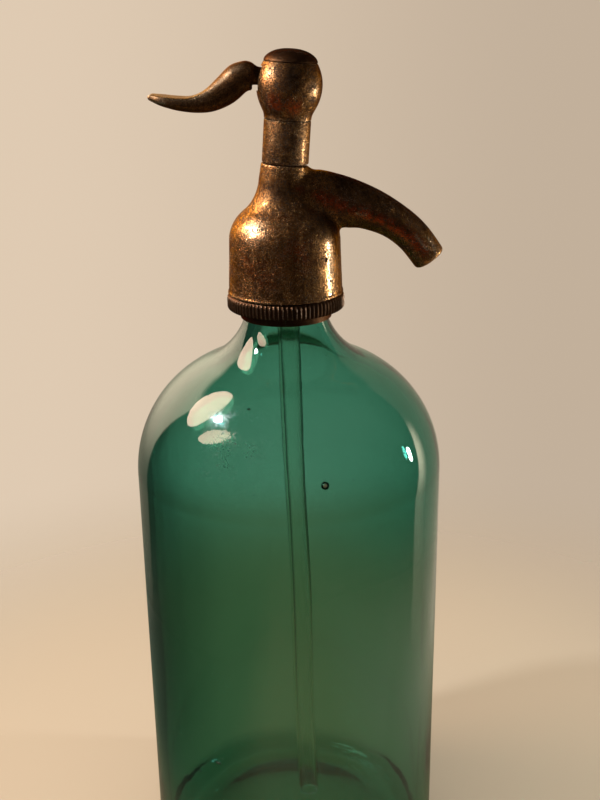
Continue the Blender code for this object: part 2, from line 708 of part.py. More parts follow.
def make_head_body():
    outline = [
        (0, pocket_floor_z + GAP),
        (PASSAGE_RADIUS, pocket_floor_z + GAP),
        (PASSAGE_RADIUS, head_step_z),
        (seal_bore_radius, head_step_z),
        (seal_bore_radius, bead_top_z + MOUTH_ROOM),
        (head_bore_radius, bead_top_z + MOUTH_ROOM),
        (head_bore_radius, head_bottom_z),
        (bell_radius + BELL_FLARE, head_bottom_z),
        (bell_radius, head_bottom_z + BELL_FLARE_HEIGHT),
    ]
    outline += arc(bell_top_radius - BELL_ARC, bell_side_top_z, BELL_ARC, 0, bell_sweep, BELL_STEPS)
    outline += arc(
        HEAD_NECK_RADIUS + BELL_ARC, head_neck_z, BELL_ARC, math.pi + bell_sweep, math.pi, BELL_STEPS
    )[1:]
    outline += [(HEAD_NECK_RADIUS - HEAD_NECK_TAPER, head_top_z), (0, head_top_z)]
    shape = turned(outline, LARGE_STEPS)
    for vert in shape.verts:
        weight = lean_weight(vert.co.z) * HEAD_LEAN
        rise = vert.co.z - lean_pivot_z
        vert.co = Vector((
            vert.co.x * math.cos(weight) + rise * math.sin(weight),
            vert.co.y,
            lean_pivot_z + rise * math.cos(weight) - vert.co.x * math.sin(weight),
        ))
    body = finish("head_body", shape, AGED_METAL)
    spout = helper("spout_shape", lofted(spout_stations(), SPOUT_SIDES, SPOUT_SQUARENESS))
    combine(body, spout, "UNION")
    chamber = helper("chamber_cutter", turned([
        (0, pocket_floor_z),
        (chamber_radius, pocket_floor_z),
        (chamber_radius, chamber_top_z),
        (packing_bore_radius, chamber_top_z),
        (packing_bore_radius, head_top_z + OVERRUN),
        (0, head_top_z + OVERRUN),
    ], INNER_STEPS))
    combine(body, on_head(chamber), "DIFFERENCE")
    route = [
        (centre, direction, SPOUT_BORE_RADIUS, SPOUT_BORE_RADIUS)
        for centre, direction, _, _ in spout_stations()
    ]
    last_centre, last_direction = route[-1][:2]
    past_the_end = last_centre + last_direction * OVERRUN
    route.append((past_the_end, last_direction, SPOUT_BORE_RADIUS, SPOUT_BORE_RADIUS))
    bore = helper("spout_bore_cutter", lofted(route, SPOUT_BORE_SIDES, ROUND_SECTION))
    combine(body, bore, "DIFFERENCE")


# Valve seat, disc, rod and nut
def make_valve():
    lip_radius = SEAT_BORE_RADIUS + SEAT_LIP_WIDTH
    seat = finish("valve_seat", turned([
        (SEAT_BORE_RADIUS, seat_bottom_z),
        (SEAT_RADIUS, seat_bottom_z),
        (SEAT_RADIUS, seat_top_z),
        (lip_radius + SEAT_LIP_HEIGHT, seat_top_z),
        (lip_radius, seat_lip_z),
        (SEAT_BORE_RADIUS, seat_lip_z),
    ], INNER_STEPS), BRASS)
    on_head(seat)
    disc = finish("valve_disc", turned([
        (0, disc_bottom_z),
        (VALVE_DISC_RADIUS, disc_bottom_z),
        (VALVE_DISC_RADIUS, disc_top_z),
        (0, disc_top_z),
    ], INNER_STEPS), RUBBER)
    on_head(disc)


def make_piston():
    rod = finish("piston_rod", turned([
        (0, cup_recess_z),
        (cup_recess_radius, cup_recess_z),
        (cup_recess_radius, cup_bottom_z),
        (cup_radius, cup_bottom_z),
        (cup_radius, cup_top_z - CUP_EDGE),
        (cup_radius - CUP_EDGE, cup_top_z),
        (ROD_RADIUS, cup_top_z),
        (ROD_RADIUS, spring_flange_z),
        (spring_flange_radius, spring_flange_z),
        (spring_flange_radius, spring_flange_top_z),
        (ROD_RADIUS, spring_flange_top_z),
        (ROD_RADIUS, rod_top_z - ROD_TIP),
        (ROD_RADIUS - ROD_TIP, rod_top_z),
        (0, rod_top_z),
    ], INNER_STEPS), BRASS)
    on_head(rod)
    hexagon = turned([(0, nut_z), (NUT_RADIUS, nut_z), (NUT_RADIUS, nut_top_z), (0, nut_top_z)], NUT_SIDES)
    half_side = Matrix.Rotation(math.pi / NUT_SIDES, 3, "Z")
    bmesh.ops.rotate(hexagon, verts=hexagon.verts, cent=(0, 0, 0), matrix=half_side)
    nut = on_head(finish("piston_nut", hexagon, BRASS))
    hole_radius = ROD_RADIUS + GAP
    low, high = nut_z - OVERRUN, nut_top_z + OVERRUN
    hole = helper(
        "nut_cutter",
        turned([(0, low), (hole_radius, low), (hole_radius, high), (0, high)], INNER_STEPS),
    )
    combine(nut, on_head(hole), "DIFFERENCE")


# Packing, stem, spring
def make_stem():
    on_head(washer(
        "packing_washer", rod_hole_radius, packing_radius, packing_washer_z, packing_washer_top_z, BRASS
    ))
    on_head(washer("rod_packing", rod_hole_radius, packing_radius, packing_z, packing_top_z, RUBBER))
    on_head(washer(
        "spring_washer", rod_hole_radius, spring_flange_radius, spring_washer_z, spring_washer_top_z, BRASS
    ))
    sleeve = finish("stem_sleeve", turned([
        (rod_hole_radius, spigot_bottom_z),
        (packing_radius, spigot_bottom_z),
        (packing_radius, stem_z),
        (STEM_RADIUS, stem_z),
        (STEM_RADIUS, stem_top_z - STEM_EDGE),
        (STEM_RADIUS - STEM_EDGE, stem_top_z),
        (stem_socket_radius, stem_top_z),
        (stem_socket_radius, stem_socket_z),
        (STEM_BORE_RADIUS, stem_socket_z),
        (STEM_BORE_RADIUS, stem_floor_z),
        (rod_hole_radius, stem_floor_z),
    ], SMALL_STEPS), AGED_METAL)
    on_head(sleeve)


def make_return_spring():
    first_z = spring_bottom_z + SPRING_WIRE_RADIUS
    last_z = spring_top_z - SPRING_WIRE_RADIUS
    count = SPRING_TURNS * SPRING_TURN_POINTS
    curve = bpy.data.curves.new("return_spring", "CURVE")
    curve.dimensions = "3D"
    curve.bevel_depth = SPRING_WIRE_RADIUS
    curve.bevel_resolution = 1
    curve.use_fill_caps = True
    wire = curve.splines.new("POLY")
    wire.points.add(count)
    for index, point in enumerate(wire.points):
        turn = math.tau * index / SPRING_TURN_POINTS
        height = first_z + (last_z - first_z) * index / count
        point.co = (spring_radius * math.cos(turn), spring_radius * math.sin(turn), height, 1)
    spring = bpy.data.objects.new("return_spring", curve)
    bpy.context.scene.collection.objects.link(spring)
    paint(spring, SPRING_STEEL)
    on_head(spring)


# Ball, cap and pivot screw
def make_ball():
    heights = [
        ball_z + (ball_top_z - ball_z) * index / (BALL_PROFILE_POINTS - 1)
        for index in range(BALL_PROFILE_POINTS)
    ]
    outline = [
        (rod_hole_radius, ball_spigot_z),
        (BALL_SPIGOT_RADIUS, ball_spigot_z),
        (BALL_SPIGOT_RADIUS, ball_z),
    ]
    outline += [(ball_radius_at(z), z) for z in heights]
    outline += [
        (BALL_CAVITY_RADIUS, ball_top_z),
        (BALL_CAVITY_RADIUS, ball_floor_z),
        (rod_hole_radius, ball_floor_z),
    ]
    ball = finish("ball_housing", turned(outline, SMALL_STEPS), AGED_METAL)
    on_head(ball)
    half_width = FORK_HALF_WIDTH + SWING_CLEARANCE
    aperture = helper("aperture_cutter", block(
        (-BALL_RADIUS - OVERRUN, -half_width, pivot_z - APERTURE_BELOW_PIVOT),
        (-PIVOT_REACH, half_width, pivot_z + APERTURE_ABOVE_PIVOT),
    ))
    combine(ball, on_head(aperture), "DIFFERENCE")
    front_y = -PIVOT_SCREW_FRONT - GAP
    screw_hole = helper(
        "screw_hole_cutter",
        rod_along_y(-PIVOT_REACH, pivot_z, pivot_hole_radius, front_y, BALL_RADIUS, INNER_STEPS),
    )
    combine(ball, on_head(screw_hole), "DIFFERENCE")
    face_y = PIVOT_SCREW_BACK - GAP
    face_radius = PIVOT_HEAD_RADIUS + GAP
    spot_face = helper(
        "spot_face_cutter",
        rod_along_y(-PIVOT_REACH, pivot_z, face_radius, face_y, BALL_RADIUS + OVERRUN, INNER_STEPS),
    )
    combine(ball, on_head(spot_face), "DIFFERENCE")


def make_ball_cap():
    rim_radius = ball_radius_at(ball_top_z) + CAP_OVERHANG
    dome_z = cap_z + CAP_EDGE_HEIGHT
    outline = [
        (0, cap_roof_z),
        (cap_bore_radius, cap_roof_z),
        (cap_bore_radius, cap_spigot_z),
        (cap_spigot_radius, cap_spigot_z),
        (cap_spigot_radius, cap_z),
        (rim_radius, cap_z),
    ]
    for index in range(CAP_PROFILE_POINTS + 1):
        share = math.cos(QUARTER_TURN * index / CAP_PROFILE_POINTS)
        rise = (1 - share**CAP_FULLNESS) ** CAP_FALL
        outline.append((rim_radius * share, dome_z + (cap_top_z - dome_z) * rise))
    outline[-1] = (0, cap_top_z)
    on_head(finish("ball_cap", turned(outline, SMALL_STEPS), DARK_METAL))


def make_pivot_screw():
    head_y = PIVOT_SCREW_BACK + PIVOT_HEAD_HEIGHT
    shape = turned([
        (0, -PIVOT_SCREW_FRONT),
        (PIVOT_SCREW_RADIUS, -PIVOT_SCREW_FRONT),
        (PIVOT_SCREW_RADIUS, PIVOT_SCREW_BACK),
        (PIVOT_HEAD_RADIUS, PIVOT_SCREW_BACK),
        (PIVOT_HEAD_RADIUS, head_y),
        (0, head_y),
    ], INNER_STEPS)
    for vert in shape.verts:
        vert.co = Vector((vert.co.x, vert.co.z, -vert.co.y))
    screw = on_lever(finish("pivot_screw", shape, BRASS))
    half_slot = PIVOT_DRIVE_WIDTH / 2
    drive = helper("drive_slot_cutter", block(
        (-PIVOT_HEAD_RADIUS - OVERRUN, head_y - PIVOT_DRIVE_DEPTH, -half_slot),
        (PIVOT_HEAD_RADIUS + OVERRUN, head_y + OVERRUN, half_slot),
    ))
    combine(screw, on_lever(drive), "DIFFERENCE")


# Lever: the casting outside the ball, and the fork inside it
def fork_outline():
    """Round eye at the pivot, round knuckle over the rod, straight between them."""
    tilt = math.asin((EYE_RADIUS - KNUCKLE_RADIUS) / PIVOT_REACH)
    end = QUARTER_TURN - tilt
    knuckle = arc(PIVOT_REACH, 0, KNUCKLE_RADIUS, -end, end, FORK_ARC_STEPS)
    eye = arc(0, 0, EYE_RADIUS, end, math.tau - end, FORK_ARC_STEPS)
    return knuckle + eye


def make_lever():
    sizes = (-LEVER_REACH, LEVER_FALL, LEVER_HALF_DEPTH, LEVER_HALF_WIDTH)
    stations = curved_stations(LEVER_SHARES, LEVER_STATIONS, sizes, Vector((0, 0, 0)))
    lever = on_lever(finish("lever", lofted(stations, LEVER_SIDES, LEVER_SQUARENESS), AGED_METAL))
    shape = bmesh.new()
    corners = [shape.verts.new((x, -FORK_HALF_WIDTH, z)) for x, z in fork_outline()]
    face = shape.faces.new(corners)
    extruded = bmesh.ops.extrude_face_region(shape, geom=[face])
    moved = [item for item in extruded["geom"] if isinstance(item, bmesh.types.BMVert)]
    bmesh.ops.translate(shape, verts=moved, vec=(0, 2 * FORK_HALF_WIDTH, 0))
    combine(lever, on_lever(helper("fork_shape", shape)), "UNION")
    slot_x = PIVOT_REACH - FORK_SLOT_DEPTH
    slot = helper("fork_slot_cutter", block(
        (slot_x, -FORK_SLOT_HALF_WIDTH, -EYE_RADIUS - OVERRUN),
        (PIVOT_REACH + OVERRUN, FORK_SLOT_HALF_WIDTH, EYE_RADIUS + OVERRUN),
    ))
    combine(lever, on_lever(slot), "DIFFERENCE")
    reach_y = FORK_HALF_WIDTH + OVERRUN
    hole = helper("pivot_hole_cutter", rod_along_y(0, 0, pivot_hole_radius, -reach_y, reach_y, INNER_STEPS))
    combine(lever, on_lever(hole), "DIFFERENCE")


make_bottle()
make_dip_tube()
make_tube_ferrule()
make_mouth_seals()
make_collar()
make_knurled_ring()
make_head_body()
make_valve()
make_piston()
make_stem()
make_return_spring()
make_ball()
make_ball_cap()
make_pivot_screw()
make_lever()
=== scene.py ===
"""Soda siphon: the blown bottle, its lever head and their finishes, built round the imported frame.

Lengths are metres in the frame's axes: the foot stands on z = 0, the spout points to +X and the
lever to -X. Everything above the bell leans a little towards the spout.
"""

import json
import math
import random

import bmesh
import bpy
from bpy.props import FloatProperty, FloatVectorProperty, IntProperty, PointerProperty
from bpy.types import Operator, Panel, PropertyGroup
from mathutils import Matrix, Vector, noise
from mathutils.bvhtree import BVHTree


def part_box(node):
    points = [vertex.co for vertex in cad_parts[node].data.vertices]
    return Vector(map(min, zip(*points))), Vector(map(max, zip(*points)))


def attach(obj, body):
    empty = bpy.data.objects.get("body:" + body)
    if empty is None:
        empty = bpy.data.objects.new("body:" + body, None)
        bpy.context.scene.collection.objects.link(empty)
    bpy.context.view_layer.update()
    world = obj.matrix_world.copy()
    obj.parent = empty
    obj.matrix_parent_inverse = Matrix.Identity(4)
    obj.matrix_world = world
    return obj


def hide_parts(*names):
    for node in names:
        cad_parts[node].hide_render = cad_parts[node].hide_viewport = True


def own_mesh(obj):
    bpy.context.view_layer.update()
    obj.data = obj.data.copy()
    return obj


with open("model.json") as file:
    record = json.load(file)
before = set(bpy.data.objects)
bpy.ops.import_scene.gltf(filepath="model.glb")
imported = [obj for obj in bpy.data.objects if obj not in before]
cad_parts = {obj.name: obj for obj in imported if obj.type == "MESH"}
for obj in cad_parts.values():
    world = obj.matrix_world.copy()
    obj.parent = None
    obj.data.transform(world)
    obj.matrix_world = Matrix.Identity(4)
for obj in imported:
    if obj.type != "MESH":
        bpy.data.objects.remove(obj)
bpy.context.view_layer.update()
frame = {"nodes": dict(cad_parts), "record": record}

bl_info = {
    "name": "Soda siphon",
    "version": (1, 0, 0),
    "blender": (4, 5, 0),
    "location": "3D View > Sidebar > Siphon",
    "description": "Builds a soda siphon's glass, head and lever round its frame",
    "category": "Add Mesh",
}

QUARTER_TURN = math.pi / 2
MERGE_DISTANCE = 0.000001
GAP = 0.0003  # room between pieces that meet
OVERRUN = 0.004  # how far a cutting shape reaches past what it cuts
HEAD_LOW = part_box("head_body")[0]
RING_LOW, RING_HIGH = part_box("knurled_ring")
COLLAR_LOW, COLLAR_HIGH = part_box("collar_half_left")
TUBE_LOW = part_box("dip_tube")[0]
SEAL_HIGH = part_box("tube_seal")[1]


def length(name, default, description):
    return FloatProperty(name=name, description=description, default=default, unit="LENGTH", precision=5)


def angle(name, degrees, description):
    return FloatProperty(
        name=name, description=description, default=math.radians(degrees), subtype="ANGLE"
    )


def share(name, default, description):
    return FloatProperty(name=name, description=description, default=default, subtype="FACTOR")


def colour(name, default, description):
    return FloatVectorProperty(
        name=name, description=description, default=default, subtype="COLOR", size=3, min=0, max=1
    )


def count(name, default, description):
    return IntProperty(name=name, description=description, default=default, min=3)


class BottleSizes(PropertyGroup):
    """Sizes of the blown glass."""

    radius: length("Radius", 0.0525, "Outside radius of the straight wall")
    straight: length("Straight height", 0.1572, "Height at which the shoulder starts")
    shoulder: length("Shoulder arc", 0.042, "Radius of the shoulder's arc")
    fillet: length("Neck fillet", 0.025, "Radius of the arc that runs from the shoulder into the neck")
    neck: length("Neck radius", 0.0126, "Outside radius of the neck")
    neck_rise: length("Neck rise", 0.0043, "Straight neck between the fillet and the bead")
    wall: length("Wall", 0.0042, "Thickness of the glass")
    heel: length("Heel arc", 0.007, "Outside arc at the foot")
    inner_heel: length("Inner heel arc", 0.008, "Inside arc at the floor")
    foot_width: length("Foot width", 0.010, "Width of the ring that the bottle stands on")
    punt: length("Punt rise", 0.008, "Height of the hollow under the foot")
    floor: length("Floor", 0.0075, "Thickness of the floor")
    bead: length("Bead height", 0.0043, "Height of the bead round the mouth")
    bead_proud: length("Bead proud", 0.0016, "How far the bead stands out of the neck")
    lip: length("Lip height", 0.0013, "Height of the lip over the bead")
    lip_round: length("Lip round", 0.0005, "Rounding of the lip's edges")
    outer_wave: length("Outer wave", 0.00010, "How far the outside wanders from a true turned shape")
    inner_wave: length("Inner wave", 0.00035, "How far the inside wanders from a true turned shape")
    steps: count("Steps", 240, "Steps round the glass")
    tube_share: share("Tube share", 0.446, "Dip tube's radius as a share of the neck's bore")
    tube_bore: share("Tube bore", 0.667, "Dip tube's bore as a share of its radius")
    tube_lean: angle("Tube lean", -1.5, "Lean of the dip tube, its foot towards the spout")
    tube_round: length("Tube round", 0.0003, "Rounding of the dip tube's edges")
    tube_hang: length("Tube hang", 0.22977, "Height about which the dip tube leans")


class HeadSizes(PropertyGroup):
    """Sizes of the bell, the fluted ring and the split collar."""

    bottom: length("Bell's foot", HEAD_LOW.z, "Height of the bell's lower edge")
    radius: length("Bell radius", 0.0188, "Outside radius of the bell")
    taper: length("Bell taper", 0.0006, "How much the bell's side narrows upwards")
    flare: length("Flare", 0.00035, "How far the lower edge stands out")
    flare_height: length("Flare height", 0.0009, "Height of the flared edge")
    side: length("Side height", 0.0172, "Height of the bell's side")
    arc: length("Bell arc", 0.0115, "Radius of the two arcs between side and neck")
    neck: length("Neck radius", 0.0082, "Radius of the casting's neck")
    neck_taper: length("Neck taper", 0.0005, "How much the neck narrows upwards")
    top: length("Neck top", 0.260875, "Height of the casting's upper edge along its axis")
    bore: length("Bell bore", 0.0173, "Radius inside the bell")
    bore_top: length("Bore top", 0.227575, "Height of the bell bore's roof")
    seal_bore: length("Seal bore", 0.0137, "Radius of the bore round the seals")
    seal_top: length("Seal top", 0.234275, "Height of the step over the seals")
    passage: length("Passage radius", 0.0032, "Radius of the passage to the valve")
    pocket: length("Pocket floor", 0.240375, "Height of the valve chamber's floor")
    chamber: length("Chamber radius", 0.0053, "Radius of the valve chamber")
    chamber_top: length("Chamber top", 0.252075, "Height of the chamber's roof")
    packing: length("Packing bore", 0.0059, "Radius of the bore round the packing")
    lean: angle("Head lean", 4.2, "Lean of the axis towards the spout")
    pivot: length("Lean height", 0.253475, "Height about which the axis leans")
    lean_start: length("Lean start", 0.0095, "How far below that height the lean begins")
    lean_end: length("Lean end", 0.0005, "How far above that height the lean is full")
    voxel: length("Voxel", 0.00038, "Cell of the remesh that joins bell and spout")
    fillet: length("Spout fillet", 0.0030, "Reach of the smoothing round the spout's root")
    flutes: count("Flutes", 84, "Flutes round the ring")
    flute_depth: length("Flute depth", 0.0005, "Depth of a flute")
    ring_round: length("Ring round", 0.001, "Rounding of the ring's edges")
    ring_shoulder: length("Ring shoulder", 0.0016, "Rounding of the ring's upper edge")
    flange: length("Ring flange", 0.005, "Height of the fluted flange")
    ledge: length("Ring ledge", 0.0019, "Height of the ring's inner ledge")
    collar_step: length("Collar step", 0.0007, "How far the collar's lip stands back")
    collar_lip: length("Collar lip", 0.0052, "Height of the collar's lip")
    collar_round: length("Collar round", 0.0004, "Rounding of the collar's edges")
    thread: length("Thread", 0.0008, "How far the thread stands out of the ring's neck")


class SpoutSizes(PropertyGroup):
    """Sizes of the curved spout."""

    reach: length("Reach", 0.0478, "Reach of its centre line from the bell's axis")
    fall: length("Fall", 0.0225, "Fall of its centre line")
    half_depth: length("Half depth", 0.0096, "Greatest half depth")
    half_width: length("Half width", 0.0062, "Greatest half width")
    root: length("Root height", 0.0315, "Height of the centre line's start over the bell's foot")
    bore: length("Bore", 0.003, "Radius of the bore")
    tip_round: length("Tip round", 0.0014, "Rounding of the outlet's edge")
    squareness: FloatProperty(
        name="Squareness", description="2 is an oval, less is nearer to a diamond", default=1.85
    )


class StemSizes(PropertyGroup):
    """Sizes of the stem, the ball and its cap, as heights along the leaning axis."""

    foot: length("Stem foot", 0.261175, "Height of the stem's lower seam")
    top: length("Stem top", 0.274475, "Height of the stem's upper edge")
    radius: length("Stem radius", 0.0075, "Outside radius of the stem")
    spigot: length("Spigot foot", 0.256375, "Height of the spigot's lower end")
    spigot_radius: length("Spigot radius", 0.0056, "Radius of the spigot")
    floor: length("Stem floor", 0.258275, "Height of the floor under the spring")
    bore: length("Stem bore", 0.0046, "Radius of the bore round the spring")
    socket: length("Socket floor", 0.269575, "Height of the socket's floor")
    socket_radius: length("Socket radius", 0.0062, "Radius of the socket for the ball's spigot")
    rod_hole: length("Rod hole", 0.0018, "Radius of the hole for the rod")
    stem_round: length("Stem round", 0.0003, "Rounding of the stem's edges")
    spring_foot: length("Spring foot", 0.260575, "Height of the return spring's lower end")
    spring_top: length("Spring top", 0.268675, "Height of the return spring's upper end")
    spring_radius: length("Spring radius", 0.00325, "Radius of the spring's turns")
    spring_wire: length("Spring wire", 0.00055, "Radius of the spring's wire")
    spring_turns: count("Spring turns", 4, "Turns of the return spring")
    ball_foot: length("Ball foot", 0.274775, "Height of the ball's lower edge")
    ball_spigot: length("Ball spigot", 0.269875, "Height of the spigot's lower end")
    ball_spigot_radius: length("Ball spigot radius", 0.0059, "Radius of the ball's spigot")
    ball_centre: length("Ball centre", 0.285075, "Height of the ball's widest place")
    ball_radius: length("Ball radius", 0.0104, "Radius of the ball")
    ball_half: length("Ball half height", 0.0121, "Half height of the whole egg")
    ball_shoulder: length("Ball shoulder", 0.0114, "Half height of the egg's upper part")
    ball_top: length("Ball top", 0.291875, "Height of the ball's upper edge")
    ball_floor: length("Ball floor", 0.278875, "Height of the floor inside the ball")
    ball_round: length("Ball round", 0.0002, "Rounding of the edges of ball and cap")
    cavity: length("Cavity radius", 0.0066, "Radius inside the ball")
    cap_foot: length("Cap foot", 0.291955, "Height of the cap's seam")
    cap_top: length("Cap top", 0.295975, "Height of the cap's top")
    cap_spigot: length("Cap spigot", 0.0015, "Length of the cap's spigot")
    cap_roof: length("Cap roof", 0.294175, "Height of the cap's inner roof")
    cap_inset: length("Cap inset", 0.00002, "How far the cap's rim stands back from the ball")
    cap_edge: length("Cap edge", 0.0003, "Upright edge under the cap's dome")
    cap_wall: length("Cap wall", 0.0013, "Thickness of the cap's spigot")
    steps: count("Steps", 120, "Steps round the turned pieces")


class LeverSizes(PropertyGroup):
    """Sizes of the lever and its pivot."""

    pivot_height: length("Pivot height", 0.287175, "Height of the pivot along the leaning axis")
    pivot_reach: length("Pivot reach", 0.0055, "Distance of the pivot from the axis")
    reach: length("Reach", 0.0383, "Reach of the centre line from the pivot")
    fall: length("Fall", 0.0097, "Fall of the centre line")
    half_depth: length("Half depth", 0.00455, "Greatest half depth")
    half_width: length("Half width", 0.0058, "Greatest half width")
    squareness: FloatProperty(name="Squareness", description="2 is an oval", default=2.1)
    tip_round: length("Tip round", 0.0009, "Rounding of the thumb end's edge")
    dish: length("Dish", 0.0003, "Hollow worn into the thumb end's top")
    eye: length("Eye radius", 0.0024, "Radius of the fork's eye")
    knuckle: length("Knuckle radius", 0.0021, "Radius of the fork's knuckle")
    fork: length("Fork half width", 0.003, "Half width of the fork")
    slot: length("Slot half width", 0.0018, "Half width of the fork's slot")
    slot_depth: length("Slot depth", 0.0027, "Depth of the fork's slot")
    hole: length("Pivot hole", 0.00145, "Radius of the pivot's hole")
    screw: length("Screw radius", 0.0012, "Radius of the pivot screw")
    screw_front: length("Screw front", 0.0063, "Reach of the screw towards the front")
    screw_back: length("Screw back", 0.0067, "Seat of the screw's head at the back")
    screw_head: length("Head radius", 0.0022, "Radius of the screw's head")
    head_height: length("Head height", 0.0011, "Height of the screw's head")
    screw_round: length("Screw round", 0.0002, "Rounding of the screw's edges")
    screw_slot: length("Screw slot", 0.0003, "Half width of the slot in the screw's head")
    slot_floor: length("Slot floor", 0.0005, "Depth of the slot in the screw's head")
    window_above: length("Window above", 0.0032, "Height of the ball's window over the pivot")
    window_below: length("Window below", 0.0045, "Depth of the ball's window under the pivot")
    clearance: length("Clearance", 0.0004, "Room on each side of the fork")


class Finishes(PropertyGroup):
    """Colours of the metals and of the glass."""

    metal_dark: colour("Dark tarnish", (0.055, 0.023, 0.010), "Oldest brown film on the metal")
    metal_mid: colour("Old metal", (0.56, 0.262, 0.085), "Most of the metal")
    # Also the colour of the painted highlights on the metals
    metal_bright: colour("Rubbed metal", (0.86, 0.66, 0.42), "Where hands and cloths keep it bright")
    copper: colour("Coppery film", (0.42, 0.07, 0.016), "Reddish film in sheltered places")
    # Also the colour of the painted shade on the metals
    pit_and_shade: colour("Pits", (0.018, 0.010, 0.006), "Dirt in the pits")
    ring_mid: colour("Ring", (0.085, 0.045, 0.024), "Dark film on the ring and the collar")
    ring_bright: colour("Rubbed ring", (0.50, 0.35, 0.24), "Where the ring's ridges are rubbed")
    cap_mid: colour("Cap", (0.070, 0.036, 0.018), "Dark film on the cap")
    brass: colour("Brass", (0.62, 0.42, 0.17), "Turned inner pieces")
    steel: colour("Spring steel", (0.32, 0.30, 0.28), "Spring wire")
    rubber: colour("Rubber", (0.045, 0.035, 0.03), "Washers and packing")
    leather: colour("Leather", (0.14, 0.075, 0.04), "Cushion under the bead")
    porcelain: colour("Porcelain", (0.74, 0.72, 0.65), "Ferrule")
    stone: colour("Stone", (0.98, 0.84, 0.58), "Unmelted stone in the largest seed")
    glass: colour("Glass", (0.0, 0.583, 0.485), "What the bottle's glass lets through")
    tube: colour("Tube", (0.75, 0.8, 0.5), "What the dip tube's glass lets through")


class StageSizes(PropertyGroup):
    """Camera, floor and lamps."""

    lens: FloatProperty(name="Lens", description="Focal length in millimetres", default=49.5)
    camera: FloatVectorProperty(
        name="Camera", description="Camera's place", default=(0.0042, -0.3564, 0.308), unit="LENGTH"
    )
    pitch: angle("Pitch", 19.69, "How far the camera looks down")
    roll: angle("Roll", -0.83, "How far the camera is turned about its own axis")
    floor_radius: length("Floor radius", 0.42, "Radius of the floor")
    floor_colour: colour("Floor", (0.56, 0.45, 0.32), "Pale floor")
    backdrop: colour("Backdrop", (0.66, 0.53, 0.40), "Pale air behind the object")


# Reach, fall, half depth and half width, as shares of the spout's sizes
SPOUT_SHARES = (
    (0.04, 0.010, 0.92, 0.97),
    (0.17, 0.025, 0.94, 1.00),
    (0.29, 0.072, 0.94, 1.00),
    (0.42, 0.120, 0.855, 0.97),
    (0.57, 0.203, 0.72, 0.92),
    (0.74, 0.382, 0.62, 0.86),
    (0.88, 0.627, 0.585, 0.82),
    (1.00, 0.965, 0.565, 0.79),
)
# The same shares of the lever's sizes
LEVER_SHARES = (
    (0.030, 0.000, 0.55, 0.48),
    (0.080, 0.000, 0.58, 0.49),
    (0.125, -0.005, 0.61, 0.51),
    (0.150, -0.020, 0.68, 0.56),
    (0.174, -0.020, 0.88, 0.66),
    (0.207, 0.015, 1.00, 0.72),
    (0.277, 0.130, 1.03, 0.76),
    (0.379, 0.520, 0.99, 0.76),
    (0.507, 0.856, 0.790, 0.80),
    (0.640, 1.000, 0.582, 0.90),
    (0.770, 1.000, 0.473, 1.00),
    (0.888, 0.938, 0.385, 0.96),
    (0.966, 0.876, 0.270, 0.76),
    (1.000, 0.848, 0.250, 0.64),
)


# Shares
def part_of(value, low, high):
    """How far a value lies on the way from one to another, from 0 to 1."""
    return min(1, max(0, (value - low) / (high - low)))


def smooth(part):
    """The same part with a soft start and end."""
    return part * part * (3 - 2 * part)


# Outlines and solids
def arc(centre_r, centre_z, radius, start, end, segments):
    """Points of an arc in the (radius, height) plane, from one angle to the other."""
    turns = [start + (end - start) * index / segments for index in range(segments + 1)]
    return [(centre_r + radius * math.cos(a), centre_z + radius * math.sin(a)) for a in turns]


def line(start, end, segments):
    """Points of a straight line, its first point left out."""
    steps = [index / segments for index in range(1, segments + 1)]
    return [tuple(a + (b - a) * step for a, b in zip(start, end)) for step in steps]


def eased(outline, radius, segments=3):
    """An outline with its sharp corners cut by small arcs of about that radius."""
    last = len(outline) - 1
    made = []
    for index, point in enumerate(outline):
        here = Vector(point)
        before, after = Vector(outline[index - 1]), Vector(outline[(index + 1) % len(outline)])
        open_end = outline[0][0] == 0 and index in (0, last)
        to_before, to_after = before - here, after - here
        if open_end or min(to_before.length, to_after.length) < 3 * radius:
            made.append(point)
            continue
        if to_before.angle(to_after) > math.radians(150):
            made.append(point)
            continue
        first = here + to_before.normalized() * radius
        second = here + to_after.normalized() * radius
        for step in range(segments + 1):
            t = step / segments
            bent = first * (1 - t) ** 2 + here * 2 * t * (1 - t) + second * t * t
            made.append((bent.x, bent.y))
    return made


def turned(outline, steps):
    """A bmesh turned about Z from (radius, height) points, closed or ending on the axis."""
    shape = bmesh.new()
    corners = [shape.verts.new((radius, 0, height)) for radius, height in outline]
    pairs = list(zip(corners, corners[1:]))
    if outline[0][0] > 0:
        pairs.append((corners[-1], corners[0]))
    edges = [shape.edges.new(pair) for pair in pairs]
    bmesh.ops.spin(
        shape, geom=corners + edges, axis=(0, 0, 1), cent=(0, 0, 0), steps=steps, angle=math.tau,
        use_merge=True,
    )
    bmesh.ops.remove_doubles(shape, verts=shape.verts, dist=MERGE_DISTANCE)
    bmesh.ops.recalc_face_normals(shape, faces=shape.faces)
    return shape


def between(table, place):
    """A row of a table at a share of its length, on a smooth curve through its rows."""
    place = place * (len(table) - 1)
    index = min(int(place), len(table) - 2)
    t = place - index
    rows = [table[max(0, min(len(table) - 1, index + step))] for step in (-1, 0, 1, 2)]
    return [
        b + 0.5 * t * (c - a + t * (2 * a - 5 * b + 4 * c - d + t * (3 * (b - c) + d - a)))
        for a, b, c, d in zip(*rows)
    ]


def curved_stations(table, number, sizes, start, reach=1):
    """Stations for lofted: shares of the sizes, placed from a start point in the XZ plane.

    A ring faces along the line between the centres that many places before and after it.
    """
    rows = [between(table, index / (number - 1)) for index in range(number)]
    centres = [start + Vector((row[0] * sizes[0], 0, -row[1] * sizes[1])) for row in rows]
    stations = []
    for index, (row, centre) in enumerate(zip(rows, centres)):
        before = centres[max(0, index - reach)]
        after = centres[min(number - 1, index + reach)]
        stations.append((centre, (after - before).normalized(), row[2] * sizes[2], row[3] * sizes[3]))
    return stations


